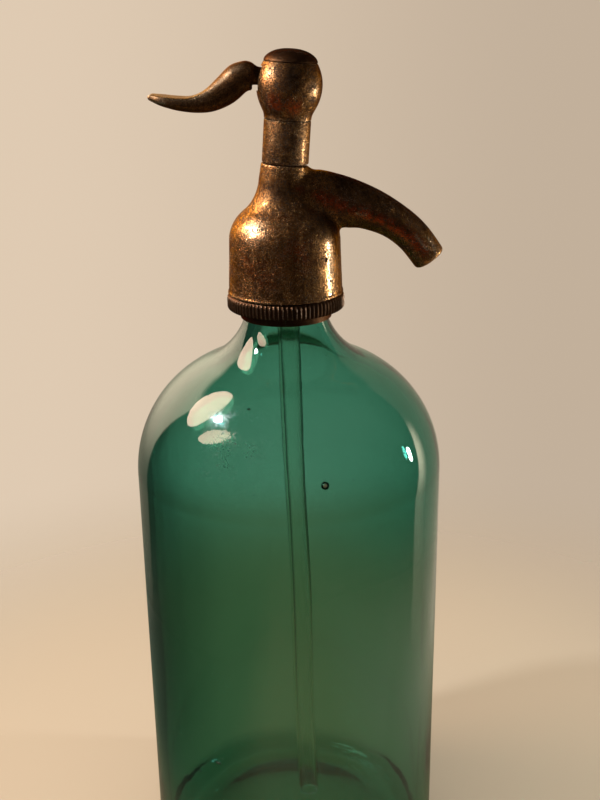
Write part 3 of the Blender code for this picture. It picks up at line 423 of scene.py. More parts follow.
def round_end(stations, radius, steps=7):
    """Rounds the edge of a loft's last end by that radius."""
    centre, direction, half_depth, half_width = stations[-1]
    kept = [station for station in stations if (station[0] - centre).length > radius]
    for index in range(steps + 1):
        turn = QUARTER_TURN * index / steps
        inset = radius * (1 - math.cos(turn))
        place = centre - direction * radius * (1 - math.sin(turn))
        kept.append((place, direction, half_depth - inset, half_width - inset))
    return kept


def lofted(stations, sides, squareness, flat_side=None, dish=0):
    """A bmesh through oval rings; a station is its centre, its direction, half depth and half width."""
    shape = bmesh.new()
    rings = []
    for index, (centre, direction, half_depth, half_width) in enumerate(stations):
        across = Vector((0, 1, 0)).cross(direction)
        part = flat_side(index / (len(stations) - 1)) if flat_side else 0
        verts = []
        for side in range(sides):
            turn = math.tau * side / sides
            c, s = math.cos(turn), math.sin(turn)
            power = 2 / (squareness + 3 * part * (c > 0))
            depth = math.copysign(abs(c) ** power, c) * half_depth
            width = math.copysign(abs(s) ** power, s) * half_width
            depth -= dish * part * (c > 0) * (1 - (width / half_width) ** 2)
            verts.append(shape.verts.new(centre + across * depth + Vector((0, width, 0))))
        rings.append([shape.edges.new((a, b)) for a, b in zip(verts, verts[1:] + verts[:1])])
        if centre == stations[0][0] or centre == stations[-1][0]:
            shape.faces.new(verts)
    for first, second in zip(rings, rings[1:]):
        bmesh.ops.bridge_loops(shape, edges=first + second)
    bmesh.ops.recalc_face_normals(shape, faces=shape.faces)
    return shape


def block(low, high):
    """A bmesh box between two corners."""
    shape = bmesh.new()
    bmesh.ops.create_cube(shape, size=1)
    for vert in shape.verts:
        vert.co = Vector(h if c > 0 else l for c, l, h in zip(vert.co, low, high))
    return shape


def pin(radius, low, high, steps=40):
    """A bmesh cylinder about Z between two heights."""
    return turned([(0, low), (radius, low), (radius, high), (0, high)], steps)


def close_ends(shape):
    """Fills the open ends of a shape and faces it outwards."""
    bmesh.ops.holes_fill(shape, edges=[edge for edge in shape.edges if edge.is_boundary])
    bmesh.ops.recalc_face_normals(shape, faces=shape.faces)


def along_y(shape, centre_x, centre_z):
    """Lays a shape that was turned about Z along Y, through a point of the XZ plane."""
    matrix = Matrix.Translation((centre_x, 0, centre_z)) @ Matrix.Rotation(-QUARTER_TURN, 4, "X")
    bmesh.ops.transform(shape, matrix=matrix, verts=shape.verts)
    return shape


def head_lean(context):
    """Leans a piece modelled upright to the axis of the neck, stem and ball."""
    head = context.scene.siphon_head
    up = Matrix.Translation((0, 0, head.pivot))
    return up @ Matrix.Rotation(head.lean, 4, "Y") @ up.inverted()


def lever_place(context):
    """Carries the lever and its screw from the origin to the pivot in the ball."""
    lever = context.scene.siphon_lever
    return head_lean(context) @ Matrix.Translation((-lever.pivot_reach, 0, lever.pivot_height))


def object_of(name, shape, matrix=None):
    """An object of a bmesh, at the origin, with its place in its mesh."""
    if matrix is not None:
        bmesh.ops.transform(shape, matrix=matrix, verts=shape.verts)
    mesh = bpy.data.meshes.new(name)
    shape.to_mesh(mesh)
    shape.free()
    made = bpy.data.objects.new(name, mesh)
    bpy.context.scene.collection.objects.link(made)
    return made


def bake_modifiers(made):
    """Puts what the modifiers make into the object's own mesh."""
    graph = bpy.context.evaluated_depsgraph_get()
    mesh = bpy.data.meshes.new_from_object(made.evaluated_get(graph))
    old = made.data
    made.modifiers.clear()
    made.data = mesh
    bpy.data.meshes.remove(old)


def combine(made, shape, operation, matrix=None):
    """Adds or cuts away another shape."""
    other = object_of("tool", shape, matrix)
    boolean = made.modifiers.new("tool", "BOOLEAN")
    boolean.object = other
    boolean.operation = operation
    boolean.solver = "EXACT"
    bake_modifiers(made)
    mesh = other.data
    bpy.data.objects.remove(other)
    bpy.data.meshes.remove(mesh)


def opened(made):
    """A bmesh of an object's mesh."""
    shape = bmesh.new()
    shape.from_mesh(made.data)
    return shape


def put_back(shape, made):
    """Writes a bmesh back to its object's mesh."""
    shape.to_mesh(made.data)
    shape.free()


def layer_of(shape, name):
    """The attribute of that name on a shape's points, made where it is missing."""
    layers = shape.verts.layers.float
    return layers.get(name) or layers.new(name)


def mark_wear(shape, bend_low, bend_high, passes, strength=1):
    """Writes how far each point is an outer edge to the attribute that the metals read."""
    layer = layer_of(shape, "worn")
    shape.normal_update()
    bends = {}
    for vert in shape.verts:
        steps = [vert.co - edge.other_vert(vert).co for edge in vert.link_edges]
        steps = [step for step in steps if step.length > 0]
        bend = sum(vert.normal.dot(step) / step.length_squared for step in steps) / max(1, len(steps))
        bends[vert] = part_of(bend, bend_low, bend_high)
    for _ in range(passes):
        softer = {}
        for vert, own in bends.items():
            around = sum(bends[edge.other_vert(vert)] for edge in vert.link_edges)
            softer[vert] = 0.5 * own + 0.5 * around / len(vert.link_edges)
        bends = softer
    for vert, bend in bends.items():
        vert[layer] = bend * strength


def mark_patch(shape, name, patches):
    """Writes soft round patches to an attribute; a patch is its centre, radius and strength."""
    layer = layer_of(shape, name)
    for vert in shape.verts:
        for centre, radius, strength in patches:
            near = max(0, 1 - (vert.co - Vector(centre)).length / radius)
            vert[layer] = min(1, vert[layer] + strength * smooth(near))


def mark_line(shape, name, points, width, strength):
    """Writes a soft line through points to an attribute."""
    layer = layer_of(shape, name)
    points = [Vector(point) for point in points]
    middle = sum(points, Vector()) / len(points)
    reach = max((point - middle).length for point in points) + width
    for vert in shape.verts:
        if (vert.co - middle).length > reach:
            continue
        away = width
        for start, end in zip(points, points[1:]):
            way = end - start
            along = part_of((vert.co - start).dot(way), 0, way.length_squared)
            away = min(away, (vert.co - start - way * along).length)
        vert[layer] = min(1, vert[layer] + strength * smooth(1 - away / width))


def dent(shape, dents):
    """Presses soft hollows into a shape; a dent is its centre, its radius and its depth."""
    shape.normal_update()
    moves = {}
    for vert in shape.verts:
        for centre, radius, depth in dents:
            near = 1 - (vert.co - Vector(centre)).length / radius
            if near > 0:
                moves[vert] = moves.get(vert, Vector()) - vert.normal * (depth * smooth(near))
    for vert, move in moves.items():
        vert.co += move


def roughen(shape, size, depth, seed):
    """Gives a cast skin its slow unevenness."""
    shape.normal_update()
    moves = [
        vert.normal * depth * noise.noise(vert.co / size + Vector((seed, seed, seed)))
        for vert in shape.verts
    ]
    for vert, move in zip(shape.verts, moves):
        vert.co += move


def finish_piece(made, material, nodes, body="siphon", sharp=32):
    """Shades a finished piece, gives it its material, hangs it on its body and hides the frame's parts it
    stands in for.
    """
    made.data.shade_smooth()
    made.data.set_sharp_from_angle(angle=math.radians(sharp))
    if made.data.materials:
        made.data.materials.clear()
    made.data.materials.append(bpy.data.materials[material])
    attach(made, body)
    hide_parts(*nodes)
    return made


# Node trees
class Net:
    """Adds nodes to a tree and links them by short calls."""

    def __init__(self, tree):
        self.tree = tree

    def node(self, kind, inputs=None, **settings):
        """A new node; inputs are values or sockets by name or number."""
        made = self.tree.nodes.new(kind if kind.startswith("NodeGroup") else "ShaderNode" + kind)
        for key, value in settings.items():
            setattr(made, key, value)
        for key, value in (inputs or {}).items():
            self.put(made.inputs[key], value)
        return made

    def put(self, socket, value):
        if isinstance(value, bpy.types.NodeSocket):
            self.tree.links.new(value, socket)
        else:
            socket.default_value = value

    def math(self, operation, *values, clamp=False):
        made = self.node("Math", operation=operation, use_clamp=clamp)
        for socket, value in zip(made.inputs, values):
            self.put(socket, value)
        return made.outputs[0]

    def add(self, first, second, clamp=False):
        return self.math("ADD", first, second, clamp=clamp)

    def subtract(self, first, second):
        return self.math("SUBTRACT", first, second)

    def times(self, first, second, clamp=False):
        return self.math("MULTIPLY", first, second, clamp=clamp)

    def vector(self, operation, *values):
        made = self.node("VectorMath", dict(enumerate(values)), operation=operation)
        single = operation in ("LENGTH", "DOT_PRODUCT")
        return made.outputs["Value" if single else "Vector"]

    def scaled(self, tone, amount):
        made = self.node("VectorMath", {0: tone, "Scale": amount}, operation="SCALE")
        return made.outputs["Vector"]

    def ramp(self, value, low, high, to_low=0.0, to_high=1.0):
        """A smooth way from one value to another; low may be over high."""
        made = self.node("MapRange", interpolation_type="SMOOTHSTEP")
        for name, given in zip(("Value", "From Min", "From Max", "To Min", "To Max"),
                               (value, low, high, to_low, to_high)):
            self.put(made.inputs[name], given)
        return made.outputs["Result"]

    def mix(self, factor, first, second):
        made = self.node("Mix", data_type="RGBA", clamp_factor=True)
        for index, given in ((0, factor), (6, first), (7, second)):
            if isinstance(given, tuple):
                given = (*given, 1)
            self.put(made.inputs[index], given)
        return made.outputs[2]

    def noise(self, vector, scale, detail=2, roughness=0.5, distortion=0.0):
        return self.node("TexNoise", {
            "Vector": vector, "Scale": scale, "Detail": detail, "Roughness": roughness,
            "Distortion": distortion,
        }).outputs["Fac"]


def new_group(name, inputs, outputs):
    """A shader node group with its sockets, and a Net on it."""
    tree = bpy.data.node_groups.new(name, "ShaderNodeTree")
    for label, default in inputs:
        socket = tree.interface.new_socket(label, in_out="INPUT", socket_type="NodeSocketFloat")
        socket.default_value = default
    for label in outputs:
        tree.interface.new_socket(label, in_out="OUTPUT", socket_type="NodeSocketFloat")
    net = Net(tree)
    given = tree.nodes.new("NodeGroupInput").outputs
    result = tree.nodes.new("NodeGroupOutput").inputs
    return net, given, result


def shifted_point(net, seed):
    """Object coordinates, moved by a seed so that pieces differ."""
    point = net.node("TexCoord").outputs["Object"]
    shift = net.node("CombineXYZ", {"X": seed, "Y": seed, "Z": seed}).outputs[0]
    return net.vector("ADD", point, shift)


def make_pitting():
    """Round corrosion pits, scattered and in patches."""
    net, given, result = new_group("pitting", (("Scale", 800), ("Amount", 0.5), ("Seed", 0)), ("Pits",))
    point = shifted_point(net, given["Seed"])
    swirl = net.node("TexNoise", {"Vector": point, "Scale": 2400.0, "Detail": 1.0}).outputs["Color"]
    bent = net.vector("ADD", point, net.vector("MULTIPLY", swirl, (0.0005, 0.0005, 0.0005)))
    patch = net.ramp(net.noise(point, net.times(given["Scale"], 0.17), 2), 0.36, 0.64)
    found = None
    for size, part in ((1.0, 1.0), (2.1, 0.75)):  # large pits, and fewer small ones
        cells = net.node("TexVoronoi", {
            "Vector": bent, "Scale": net.times(given["Scale"], size), "Randomness": 1.0})
        lot = net.node("SeparateColor", {0: cells.outputs["Color"]}).outputs[0]
        room = net.times(net.add(given["Amount"], net.times(patch, 0.4)), part)
        chosen = net.math("LESS_THAN", lot, room)
        radius = net.times(net.add(lot, 0.5), 0.46)
        hole = net.ramp(cells.outputs["Distance"], radius, net.times(radius, 0.65))
        hole = net.times(hole, chosen)
        found = hole if found is None else net.math("MAXIMUM", found, hole)
    net.put(result["Pits"], found)


def make_tarnish():
    """Slow mottling, fine dark speckle and faint upright streaks."""
    net, given, result = new_group(
        "tarnish", (("Scale", 120), ("Cover", 0.5), ("Seed", 0)), ("Film", "Grain", "Streak")
    )
    point = shifted_point(net, given["Seed"])
    slow = net.noise(point, given["Scale"], 5, 0.62, 0.4)
    limit = net.subtract(0.78, net.times(given["Cover"], 0.5))
    film = net.ramp(slow, net.subtract(limit, 0.13), net.add(limit, 0.13))
    fine = net.noise(point, net.times(given["Scale"], 17), 2, 0.55)
    middle = net.noise(point, net.times(given["Scale"], 4), 3, 0.6)
    speckle = net.add(net.times(fine, 0.62), net.times(middle, 0.38))
    drawn = net.node("Mapping", {"Vector": point, "Scale": (1, 1, 0.12)}).outputs[0]
    net.put(result["Film"], film)
    net.put(result["Grain"], net.ramp(speckle, 0.465, 0.53))
    streak = net.noise(drawn, net.times(given["Scale"], 6), 2)
    net.put(result["Streak"], net.ramp(streak, 0.4, 0.7))


HAZE_CENTRE = (-0.0175, -0.0395, 0.1785)


def make_glass_skin():
    """Drawn streaks, and a dried chalky haze on the left of the shoulder."""
    sockets = (("Streak Scale", 220), ("Haze", 1), ("Clean", 0.01))
    net, given, result = new_group("glass skin", sockets, ("Roughness", "Height"))
    point = net.node("TexCoord").outputs["Object"]
    drawn = net.node("Mapping", {"Vector": point, "Scale": (1, 1, 0.03)}).outputs[0]
    streaks = net.noise(drawn, given["Streak Scale"], 2, 0.5)
    away = net.vector("LENGTH", net.vector("SUBTRACT", point, HAZE_CENTRE))
    near = net.ramp(away, 0.024, 0.004)
    specks = net.ramp(net.noise(point, 1500, 3, 0.6), 0.42, 0.62)
    cloud = net.ramp(net.noise(point, 120, 3, 0.6), 0.35, 0.6)
    haze = net.times(net.times(near, net.times(specks, cloud)), given["Haze"])
    net.put(result["Roughness"], net.add(given["Clean"], net.times(haze, 0.3)))
    net.put(result["Height"], net.add(streaks, net.times(haze, 0.12)))


def new_material(name):
    """A Net on a new material, its shader and its output."""
    material = bpy.data.materials.new(name)
    material.use_nodes = True
    net = Net(material.node_tree)
    return net, material.node_tree.nodes["Principled BSDF"], material.node_tree.nodes["Material Output"]


def group_node(net, name, inputs):
    """The outputs of a shared group placed in a tree with its own values."""
    made = net.node("Group", node_tree=bpy.data.node_groups[name])
    for key, value in inputs.items():
        net.put(made.inputs[key], value)
    return made.outputs


def put_bump(net, shader, strength, distance, height):
    """Lets a height bend the light on a material."""
    bump = net.node("Bump", {"Strength": strength, "Distance": distance, "Height": height})
    net.put(shader.inputs["Normal"], bump.outputs[0])


def make_metal(name, colours, seed, cover, pits, rough, speckle=0.75, edge=(0.48, 0.33, 0.22)):
    """Aged tin alloy: film, speckle, coppery places, rubbed edges, pits, painted highlights and painted
    shade.
    """
    net, shader, _ = new_material(name)
    dark, mid, bright, copper, pit_and_shade = (tuple(value) for value in colours)
    film = group_node(net, "tarnish", {"Scale": 130, "Cover": cover, "Seed": seed})
    holes = group_node(net, "pitting", {"Scale": 1400, "Amount": pits, "Seed": seed + 3})["Pits"]
    # The wear attribute also carries painted highlights, and the grime attribute also carries painted shade
    worn, red, grime = (
        net.node("Attribute", attribute_name=layer).outputs["Fac"] for layer in ("worn", "copper", "grime")
    )
    rubbed_and_sheen = net.times(worn, net.ramp(film["Grain"], 0.0, 0.8, 1.0, 0.4), clamp=True)
    patchy = net.ramp(net.noise(net.node("TexCoord").outputs["Object"], 420, 4, 0.65, 0.6), 0.36, 0.6)
    tone = mid
    for amount, layer in (
        (net.times(film["Film"], 0.6), dark),
        (net.times(film["Streak"], 0.45), dark),
        (net.times(film["Grain"], speckle), dark),
        (net.times(red, net.ramp(film["Grain"], 0, 1, 1.0, 0.45)), dark),
        (net.times(red, patchy), copper),
        # Rubbed places and painted highlights take the bright colour; pits, and grime with its painted
        # shade, take the pit colour
        (rubbed_and_sheen, bright),
        (holes, pit_and_shade),
        (grime, pit_and_shade),
    ):
        tone = net.mix(amount, tone, layer)
    net.put(shader.inputs["Base Color"], tone)
    shader.inputs["Specular Tint"].default_value = (*edge, 1)
    net.put(shader.inputs["Metallic"], net.subtract(1, net.times(holes, 0.7)))
    dull = rough
    for mask, amount in (
        (film["Film"], 0.07), (film["Grain"], 0.09), (grime, 0.2), (rubbed_and_sheen, -0.08), (holes, 0.3)
    ):
        dull = net.add(dull, net.times(mask, amount), clamp=True)
    net.put(shader.inputs["Roughness"], dull)
    put_bump(net, shader, 0.9, 0.00009, net.subtract(net.times(film["Grain"], -0.3), holes))


def make_plain(name, tone, rough, metallic, scale, depth, change):
    """A plain finish with the grain and patchy tone of an old one."""
    net, shader, _ = new_material(name)
    film = group_node(net, "tarnish", {"Scale": scale, "Cover": 0.5, "Seed": scale / 100})
    darker = tuple(value * change for value in tone)
    net.put(shader.inputs["Base Color"], net.mix(film["Film"], tuple(tone), darker))
    net.put(shader.inputs["Roughness"], net.add(rough, net.times(film["Grain"], 0.12)))
    shader.inputs["Metallic"].default_value = metallic
    put_bump(net, shader, 0.5, depth, film["Grain"])


def make_glass(name, absorbed, density, streak_scale, haze, streak_depth, clean, bend=1.5):
    """Clear glass whose colour comes from its thickness."""
    net, shader, output = new_material(name)
    skin = group_node(net, "glass skin", {"Streak Scale": streak_scale, "Haze": haze, "Clean": clean})
    shader.inputs["Base Color"].default_value = (1, 1, 1, 1)
    shader.inputs["IOR"].default_value = bend
    shader.inputs["Transmission Weight"].default_value = 1
    net.put(shader.inputs["Roughness"], skin["Roughness"])
    put_bump(net, shader, 1, streak_depth, skin["Height"])
    volume = net.node("VolumeAbsorption", {"Color": (*absorbed, 1), "Density": density})
    net.tree.links.new(volume.outputs[0], output.inputs["Volume"])


class SIPHON_OT_finishes(Operator):
    """Makes the shared node groups and every material"""

    bl_idname = "siphon.finishes"
    bl_label = "Finishes"

    def execute(self, context):
        tones = context.scene.siphon_finishes
        make_pitting()
        make_tarnish()
        make_glass_skin()
        metal = (tones.metal_dark, tones.metal_mid, tones.metal_bright, tones.copper, tones.pit_and_shade)
        make_metal("cast metal", metal, seed=0, cover=0.4, pits=0.5, rough=0.2, speckle=0.75)
        make_metal("ball metal", metal, seed=5, cover=0.58, pits=0.5, rough=0.23, speckle=0.84)
        make_metal("lever metal", metal, seed=9, cover=0.75, pits=0.14, rough=0.23, speckle=0.7)
        dark = (tones.metal_dark, tones.cap_mid, tones.metal_mid, tones.copper, tones.pit_and_shade)
        make_metal(
            "cap metal", dark, seed=14, cover=0.5, pits=0.1, rough=0.42, speckle=0.5,
            edge=(0.26, 0.17, 0.10),
        )
        grey = (tones.metal_dark, tones.ring_mid, tones.ring_bright, tones.copper, tones.pit_and_shade)
        make_metal(
            "ring metal", grey, seed=21, cover=0.5, pits=0.05, rough=0.34, speckle=0.4,
            edge=(0.45, 0.26, 0.14),
        )
        for row in (
            # Name, colour, roughness, metallic, scale, depth of the grain and how dark the film is
            ("turned brass", tones.brass, 0.25, 1, 210, 0.00003, 0.6),
            ("spring steel", tones.steel, 0.3, 1, 260, 0.00002, 0.55),
            ("old rubber", tones.rubber, 0.6, 0, 300, 0.00004, 0.6),
            ("hard leather", tones.leather, 0.7, 0, 420, 0.0001, 0.55),
            ("glazed porcelain", tones.porcelain, 0.12, 0, 90, 0.00001, 0.9),
            ("glass stone", tones.stone, 0.5, 0, 900, 0.00003, 0.6),
        ):
            make_plain(*row)
        make_glass(
            "bottle glass", tuple(tones.glass), density=300, streak_scale=240, haze=1,
            streak_depth=0.00002, clean=0.01,
        )
        make_glass(
            "tube glass", tuple(tones.tube), density=75, streak_scale=500, haze=0,
            streak_depth=0.00001, clean=0.18, bend=1.14,
        )
        return {"FINISHED"}


BEAD_SWEEP = 1.2  # half of the angle that the bead's outside takes up
WAVE_FADE = 0.02  # length over which the waves in the glass die away at floor and neck


def fillet_centre(b):
    """Radius and height of the centre of the arc between the bottle's shoulder and its neck."""
    fillet_r = b.neck + b.fillet
    offset = fillet_r - (b.radius - b.shoulder)
    return fillet_r, b.straight + math.sqrt((b.shoulder + b.fillet) ** 2 - offset**2)


def bottle_outline(b):
    """Points of the outside from the punt up to the mouth, and of the inside from there down."""
    fillet_r, fillet_z = fillet_centre(b)
    shoulder_r = b.radius - b.shoulder
    sweep = math.atan2(fillet_z - b.straight, fillet_r - shoulder_r)
    bead_z = fillet_z + b.neck_rise
    mouth_z = bead_z + b.bead + b.lip
    foot_r = b.radius - b.heel
    punt_r = foot_r - b.foot_width
    bore = b.neck - b.wall
    inner = b.radius - b.wall
    floor_r = inner - b.inner_heel
    half_bead = b.bead / 2
    lip_z = mouth_z - b.lip_round
    fall = [index / 10 for index in range(11)]
    outside = [(punt_r * s, b.punt * (1 - s * s)) for s in fall]
    outside += line(outside[-1], (foot_r, 0), 3)[:-1]
    outside += arc(foot_r, b.heel, b.heel, -QUARTER_TURN, 0, 10)
    outside += line(outside[-1], (b.radius, b.straight), 24)
    outside += arc(shoulder_r, b.straight, b.shoulder, 0, sweep, 26)[1:]
    outside += arc(fillet_r, fillet_z, b.fillet, math.pi + sweep, math.pi, 16)[1:]
    outside += [(b.neck, bead_z)]
    bead_r = b.neck + b.bead_proud - half_bead
    outside += arc(bead_r, bead_z + half_bead, half_bead, -BEAD_SWEEP, BEAD_SWEEP, 8)
    outside += arc(b.neck - b.lip_round, lip_z, b.lip_round, 0, QUARTER_TURN, 4)
    inside = arc(bore + b.lip_round, lip_z, b.lip_round, QUARTER_TURN, math.pi, 4)
    inside += arc(fillet_r, fillet_z, b.fillet + b.wall, math.pi, math.pi + sweep, 16)
    inside += arc(shoulder_r, b.straight, b.shoulder - b.wall, sweep, 0, 26)[1:]
    inside += line(inside[-1], (inner, b.floor + b.inner_heel), 24)
    inside += arc(floor_r, b.floor + b.inner_heel, b.inner_heel, 0, -QUARTER_TURN, 12)[1:]
    inside += [(floor_r * s, b.floor + b.punt * (1 - s * s)) for s in reversed(fall[:-1])]
    return outside, inside


def wave_glass(shape, b, outside):
    """Lets the wall wander, more on the inside than on the outside."""
    bead_z = fillet_centre(b)[1] + b.neck_rise
    bore = b.neck - b.wall
    foot_points = 14  # of the punt and the standing ring, which turn back under the wall
    middle = {round(z, 6): r for r, z in outside[foot_points:]}
    heights = sorted(middle)

    def outer_radius(height):
        above = next((z for z in heights if z >= height), heights[-1])
        below = max((z for z in heights if z <= height), default=heights[0])
        if above == below:
            return middle[above]
        return middle[below] + part_of(height, below, above) * (middle[above] - middle[below])

    for vert in shape.verts:
        radius, height = vert.co.xy.length, vert.co.z
        if radius < bore / 2 or height > bead_z or height < b.floor + b.punt:
            continue
        x, y = vert.co.x / radius, vert.co.y / radius
        fade = min(1, (bead_z - height) / WAVE_FADE, (height - b.floor - b.punt) / WAVE_FADE)
        if radius < outer_radius(height) - b.wall * 0.6:
            wave = noise.noise(Vector((1.1 * x, 1.1 * y, height * 22))) * b.inner_wave
            wave += noise.noise(Vector((7 * x, 7 * y, height * 6 + 5))) * b.inner_wave * 0.12
        else:
            wave = noise.noise(Vector((1.4 * x, 1.4 * y, height * 18 + 9))) * b.outer_wave
        vert.co.xy *= 1 + fade * wave / radius


class SIPHON_OT_bottle(Operator):
    """Blows the bottle with its punt, shoulder, bead and seeds"""

    bl_idname = "siphon.bottle"
    bl_label = "Bottle"

    def execute(self, context):
        b = context.scene.siphon_bottle
        outside, inside = bottle_outline(b)
        shape = turned(outside + inside, b.steps)
        wave_glass(shape, b, outside)
        add_seeds(shape, b)
        made = object_of("blown_bottle", shape)
        finish_piece(made, "bottle glass", ["bottle"], sharp=40)
        made.data.materials.append(bpy.data.materials["glass stone"])
        return {"FINISHED"}


# Seeds in the glass: degrees round the bottle from the front, height, radius and tallness
SEEDS = (
    (13.5, 0.1695, 0.0013, 1.0),
    (24.3, 0.1699, 0.00030, 1.0),
    (50.0, 0.1986, 0.00025, 1.0),
    (-23.9, 0.1660, 0.00022, 1.0),
    (-11.9, 0.1672, 0.00022, 1.0),
    (-19.2, 0.1894, 0.0006, 0.4),
    (-29.4, 0.0658, 0.0011, 0.6),
    (-38.4, 0.0590, 0.0005, 1.0),
)
RANDOM_SEEDS = 46
STONE_SEED = 0.0008  # a seed of a larger radius is drawn finer, and holds a stone
STONE_SHARE = 0.72
SEED_DEPTH = 0.42  # as a share of the wall


def add_ball(shape, subdivisions, radius, matrix):
    """Adds a round ball to a shape, and gives its faces."""
    ball = bmesh.ops.create_icosphere(shape, subdivisions=subdivisions, radius=radius, matrix=matrix)
    return list({face for vert in ball["verts"] for face in vert.link_faces})


def add_seeds(shape, b):
    """Air bubbles left in the wall by the blower, facing inwards."""
    random.seed(12)
    seeds = list(SEEDS)
    for _ in range(RANDOM_SEEDS):
        seeds.append((
            random.uniform(-180, 180), random.uniform(0.03, 0.15), random.uniform(0.00007, 0.00019),
            random.choice((1, 1.6, 3)),
        ))
    for turn, height, width, tall in seeds:
        spot = math.radians(turn) - QUARTER_TURN
        radius = b.radius
        if height > b.straight:
            radius -= b.shoulder - math.sqrt(b.shoulder**2 - (height - b.straight) ** 2)
        radius -= b.wall * SEED_DEPTH
        matrix = Matrix.Translation((radius * math.cos(spot), radius * math.sin(spot), height))
        matrix = matrix @ Matrix.Diagonal((width, width, width * tall, 1))
        big = width > STONE_SEED
        bubble = add_ball(shape, 3 if big else 2, 1, matrix)
        bmesh.ops.reverse_faces(shape, faces=bubble)
        if big:
            for face in add_ball(shape, 3, STONE_SHARE, matrix):
                face.material_index = 1


class SIPHON_OT_dip_tube(Operator):
    """Draws the dip tube that leans a little in the bottle"""

    bl_idname = "siphon.dip_tube"
    bl_label = "Dip tube"

    def execute(self, context):
        b = context.scene.siphon_bottle
        radius = b.tube_share * (b.neck - b.wall)
        bore = b.tube_bore * radius
        high = SEAL_HIGH.z - b.tube_hang - GAP
        low = TUBE_LOW.z - b.tube_hang + radius * math.sin(abs(b.tube_lean))
        outline = eased([(bore, low), (radius, low), (radius, high), (bore, high)], b.tube_round)
        lean = Matrix.Translation((0, 0, b.tube_hang)) @ Matrix.Rotation(b.tube_lean, 4, "Y")
        made = object_of("drawn_dip_tube", turned(outline, 64), lean)
        finish_piece(made, "tube glass", ["dip_tube"])
        return {"FINISHED"}


COLLAR_SEAM = 0.00004


class SIPHON_OT_collar(Operator):
    """Turns the split collar whose lip shows under the fluted ring"""

    bl_idname = "siphon.collar"
    bl_label = "Split collar"

    def execute(self, context):
        b, head = context.scene.siphon_bottle, context.scene.siphon_head
        radius = -COLLAR_LOW.x
        lip = radius - head.collar_step
        step_z = COLLAR_LOW.z + head.collar_lip
        fillet_r, fillet_z = fillet_centre(b)
        bore = []
        for index in range(9):
            height = COLLAR_LOW.z + (COLLAR_HIGH.z - COLLAR_LOW.z) * index / 8
            below = max(0, fillet_z - height)
            bore.append((fillet_r - math.sqrt(b.fillet**2 - below**2) + GAP, height))
        outline = bore[::-1] + eased([
            (bore[0][0], COLLAR_LOW.z), (lip, COLLAR_LOW.z), (lip, step_z), (radius, step_z),
            (radius, COLLAR_HIGH.z), (bore[-1][0], COLLAR_HIGH.z),
        ], head.collar_round)[1:-1]
        for name, side in (("left", -1), ("right", 1)):
            shape = turned(outline, 96)
            bmesh.ops.bisect_plane(
                shape, geom=shape.verts[:] + shape.edges[:] + shape.faces[:],
                plane_co=(side * COLLAR_SEAM / 2, 0, 0), plane_no=(-side, 0, 0), clear_outer=True,
            )
            close_ends(shape)
            made = object_of("split_collar_" + name, shape)
            finish_piece(made, "ring metal", ["collar_half_" + name])
        return {"FINISHED"}


class SIPHON_OT_ring(Operator):
    """Turns and flutes the ring that draws the bottle up into the head"""

    bl_idname = "siphon.ring"
    bl_label = "Fluted ring"

    def execute(self, context):
        head = context.scene.siphon_head
        rim = RING_HIGH.x
        collar = -COLLAR_LOW.x
        bore, lip_bore = collar + GAP, collar - head.collar_step + GAP
        thread = bore + head.thread
        low, high, top = RING_LOW.z, RING_LOW.z + head.flange, RING_HIGH.z
        round_r = head.ring_round
        corner = rim - round_r
        ledge_z = low + head.ledge
        outline = [(lip_bore, low)]
        outline += arc(corner, low + round_r, round_r, -QUARTER_TURN, 0, 6)
        shoulder = head.ring_shoulder
        outline += line(outline[-1], (rim, high - shoulder), 4)
        outline += arc(rim - shoulder, high - shoulder, shoulder, 0, QUARTER_TURN, 8)[1:]
        outline += [(thread, high), (thread, top), (bore, top), (bore, ledge_z), (lip_bore, ledge_z)]
        shape = turned(outline, 8 * head.flutes)
        worn = shape.verts.layers.float.new("worn")
        random.seed(4)
        depths = [random.uniform(0.75, 1.15) for _ in range(head.flutes)]
        fluted = rim - 0.6 * shoulder
        for vert in shape.verts:
            radius = vert.co.xy.length
            if radius < fluted or radius < corner + MERGE_DISTANCE:
                continue
            place = math.atan2(vert.co.y, vert.co.x) * head.flutes / math.tau
            phase = place - math.floor(place)
            groove = abs(math.cos(math.pi * phase)) ** 1.4
            depth = head.flute_depth * depths[int(math.floor(place)) % head.flutes]
            out = min(1, (radius - fluted) / (0.5 * shoulder))
            vert.co.xy *= 1 - groove * depth * out / radius
            # Only the ridges are rubbed, and not all alike
            rub = max(0, 1 - 3.0 * groove) * out**3
            vert[worn] = rub * (0.65 + 0.5 * noise.noise(vert.co * 160))
        made = object_of("fluted_ring", shape)
        finish_piece(made, "ring metal", ["knurled_ring"], sharp=50)
        return {"FINISHED"}


def spout_stations(context, number):
    """That many stations along the spout, from inside the bell to the outlet."""
    head, spout = context.scene.siphon_head, context.scene.siphon_spout
    sizes = (spout.reach, spout.fall, spout.half_depth, spout.half_width)
    return curved_stations(SPOUT_SHARES, number, sizes, Vector((0, 0, head.bottom + spout.root)))


FILLET_PASSES = 45
# Marks on the bell and spout. A dent is a centre, a radius and a depth,
# and a patch is a centre, a radius and a strength.
HEAD_DENTS = (
    ((0.0131, -0.0129, 0.2321), 0.0009, 0.00045),
    ((0.0139, -0.0122, 0.2333), 0.0006, 0.0002),
    ((-0.0105, -0.0155, 0.2290), 0.0007, 0.0002),
    ((0.0030, -0.0185, 0.2275), 0.0008, 0.0002),
    ((-0.0030, 0.0186, 0.2300), 0.0012, 0.0003),
    ((-0.0182, 0.0050, 0.2350), 0.0009, 0.0003),
)
# Painted shade: darker patches at the spout's root, on the bell's front and on the neck
HEAD_PAINTED_SHADE = (
    ((0.0119, -0.0117, 0.2440), 0.009, 0.55),
    ((0.0085, -0.0145, 0.2350), 0.0075, 0.6),
    ((0.0119, 0.0117, 0.2440), 0.009, 0.5),
    ((0.0080, -0.0168, 0.2270), 0.0085, 0.62),
    ((-0.0053, -0.0066, 0.2535), 0.010, 0.75),
    ((0.0010, -0.0085, 0.2520), 0.008, 0.4),
)
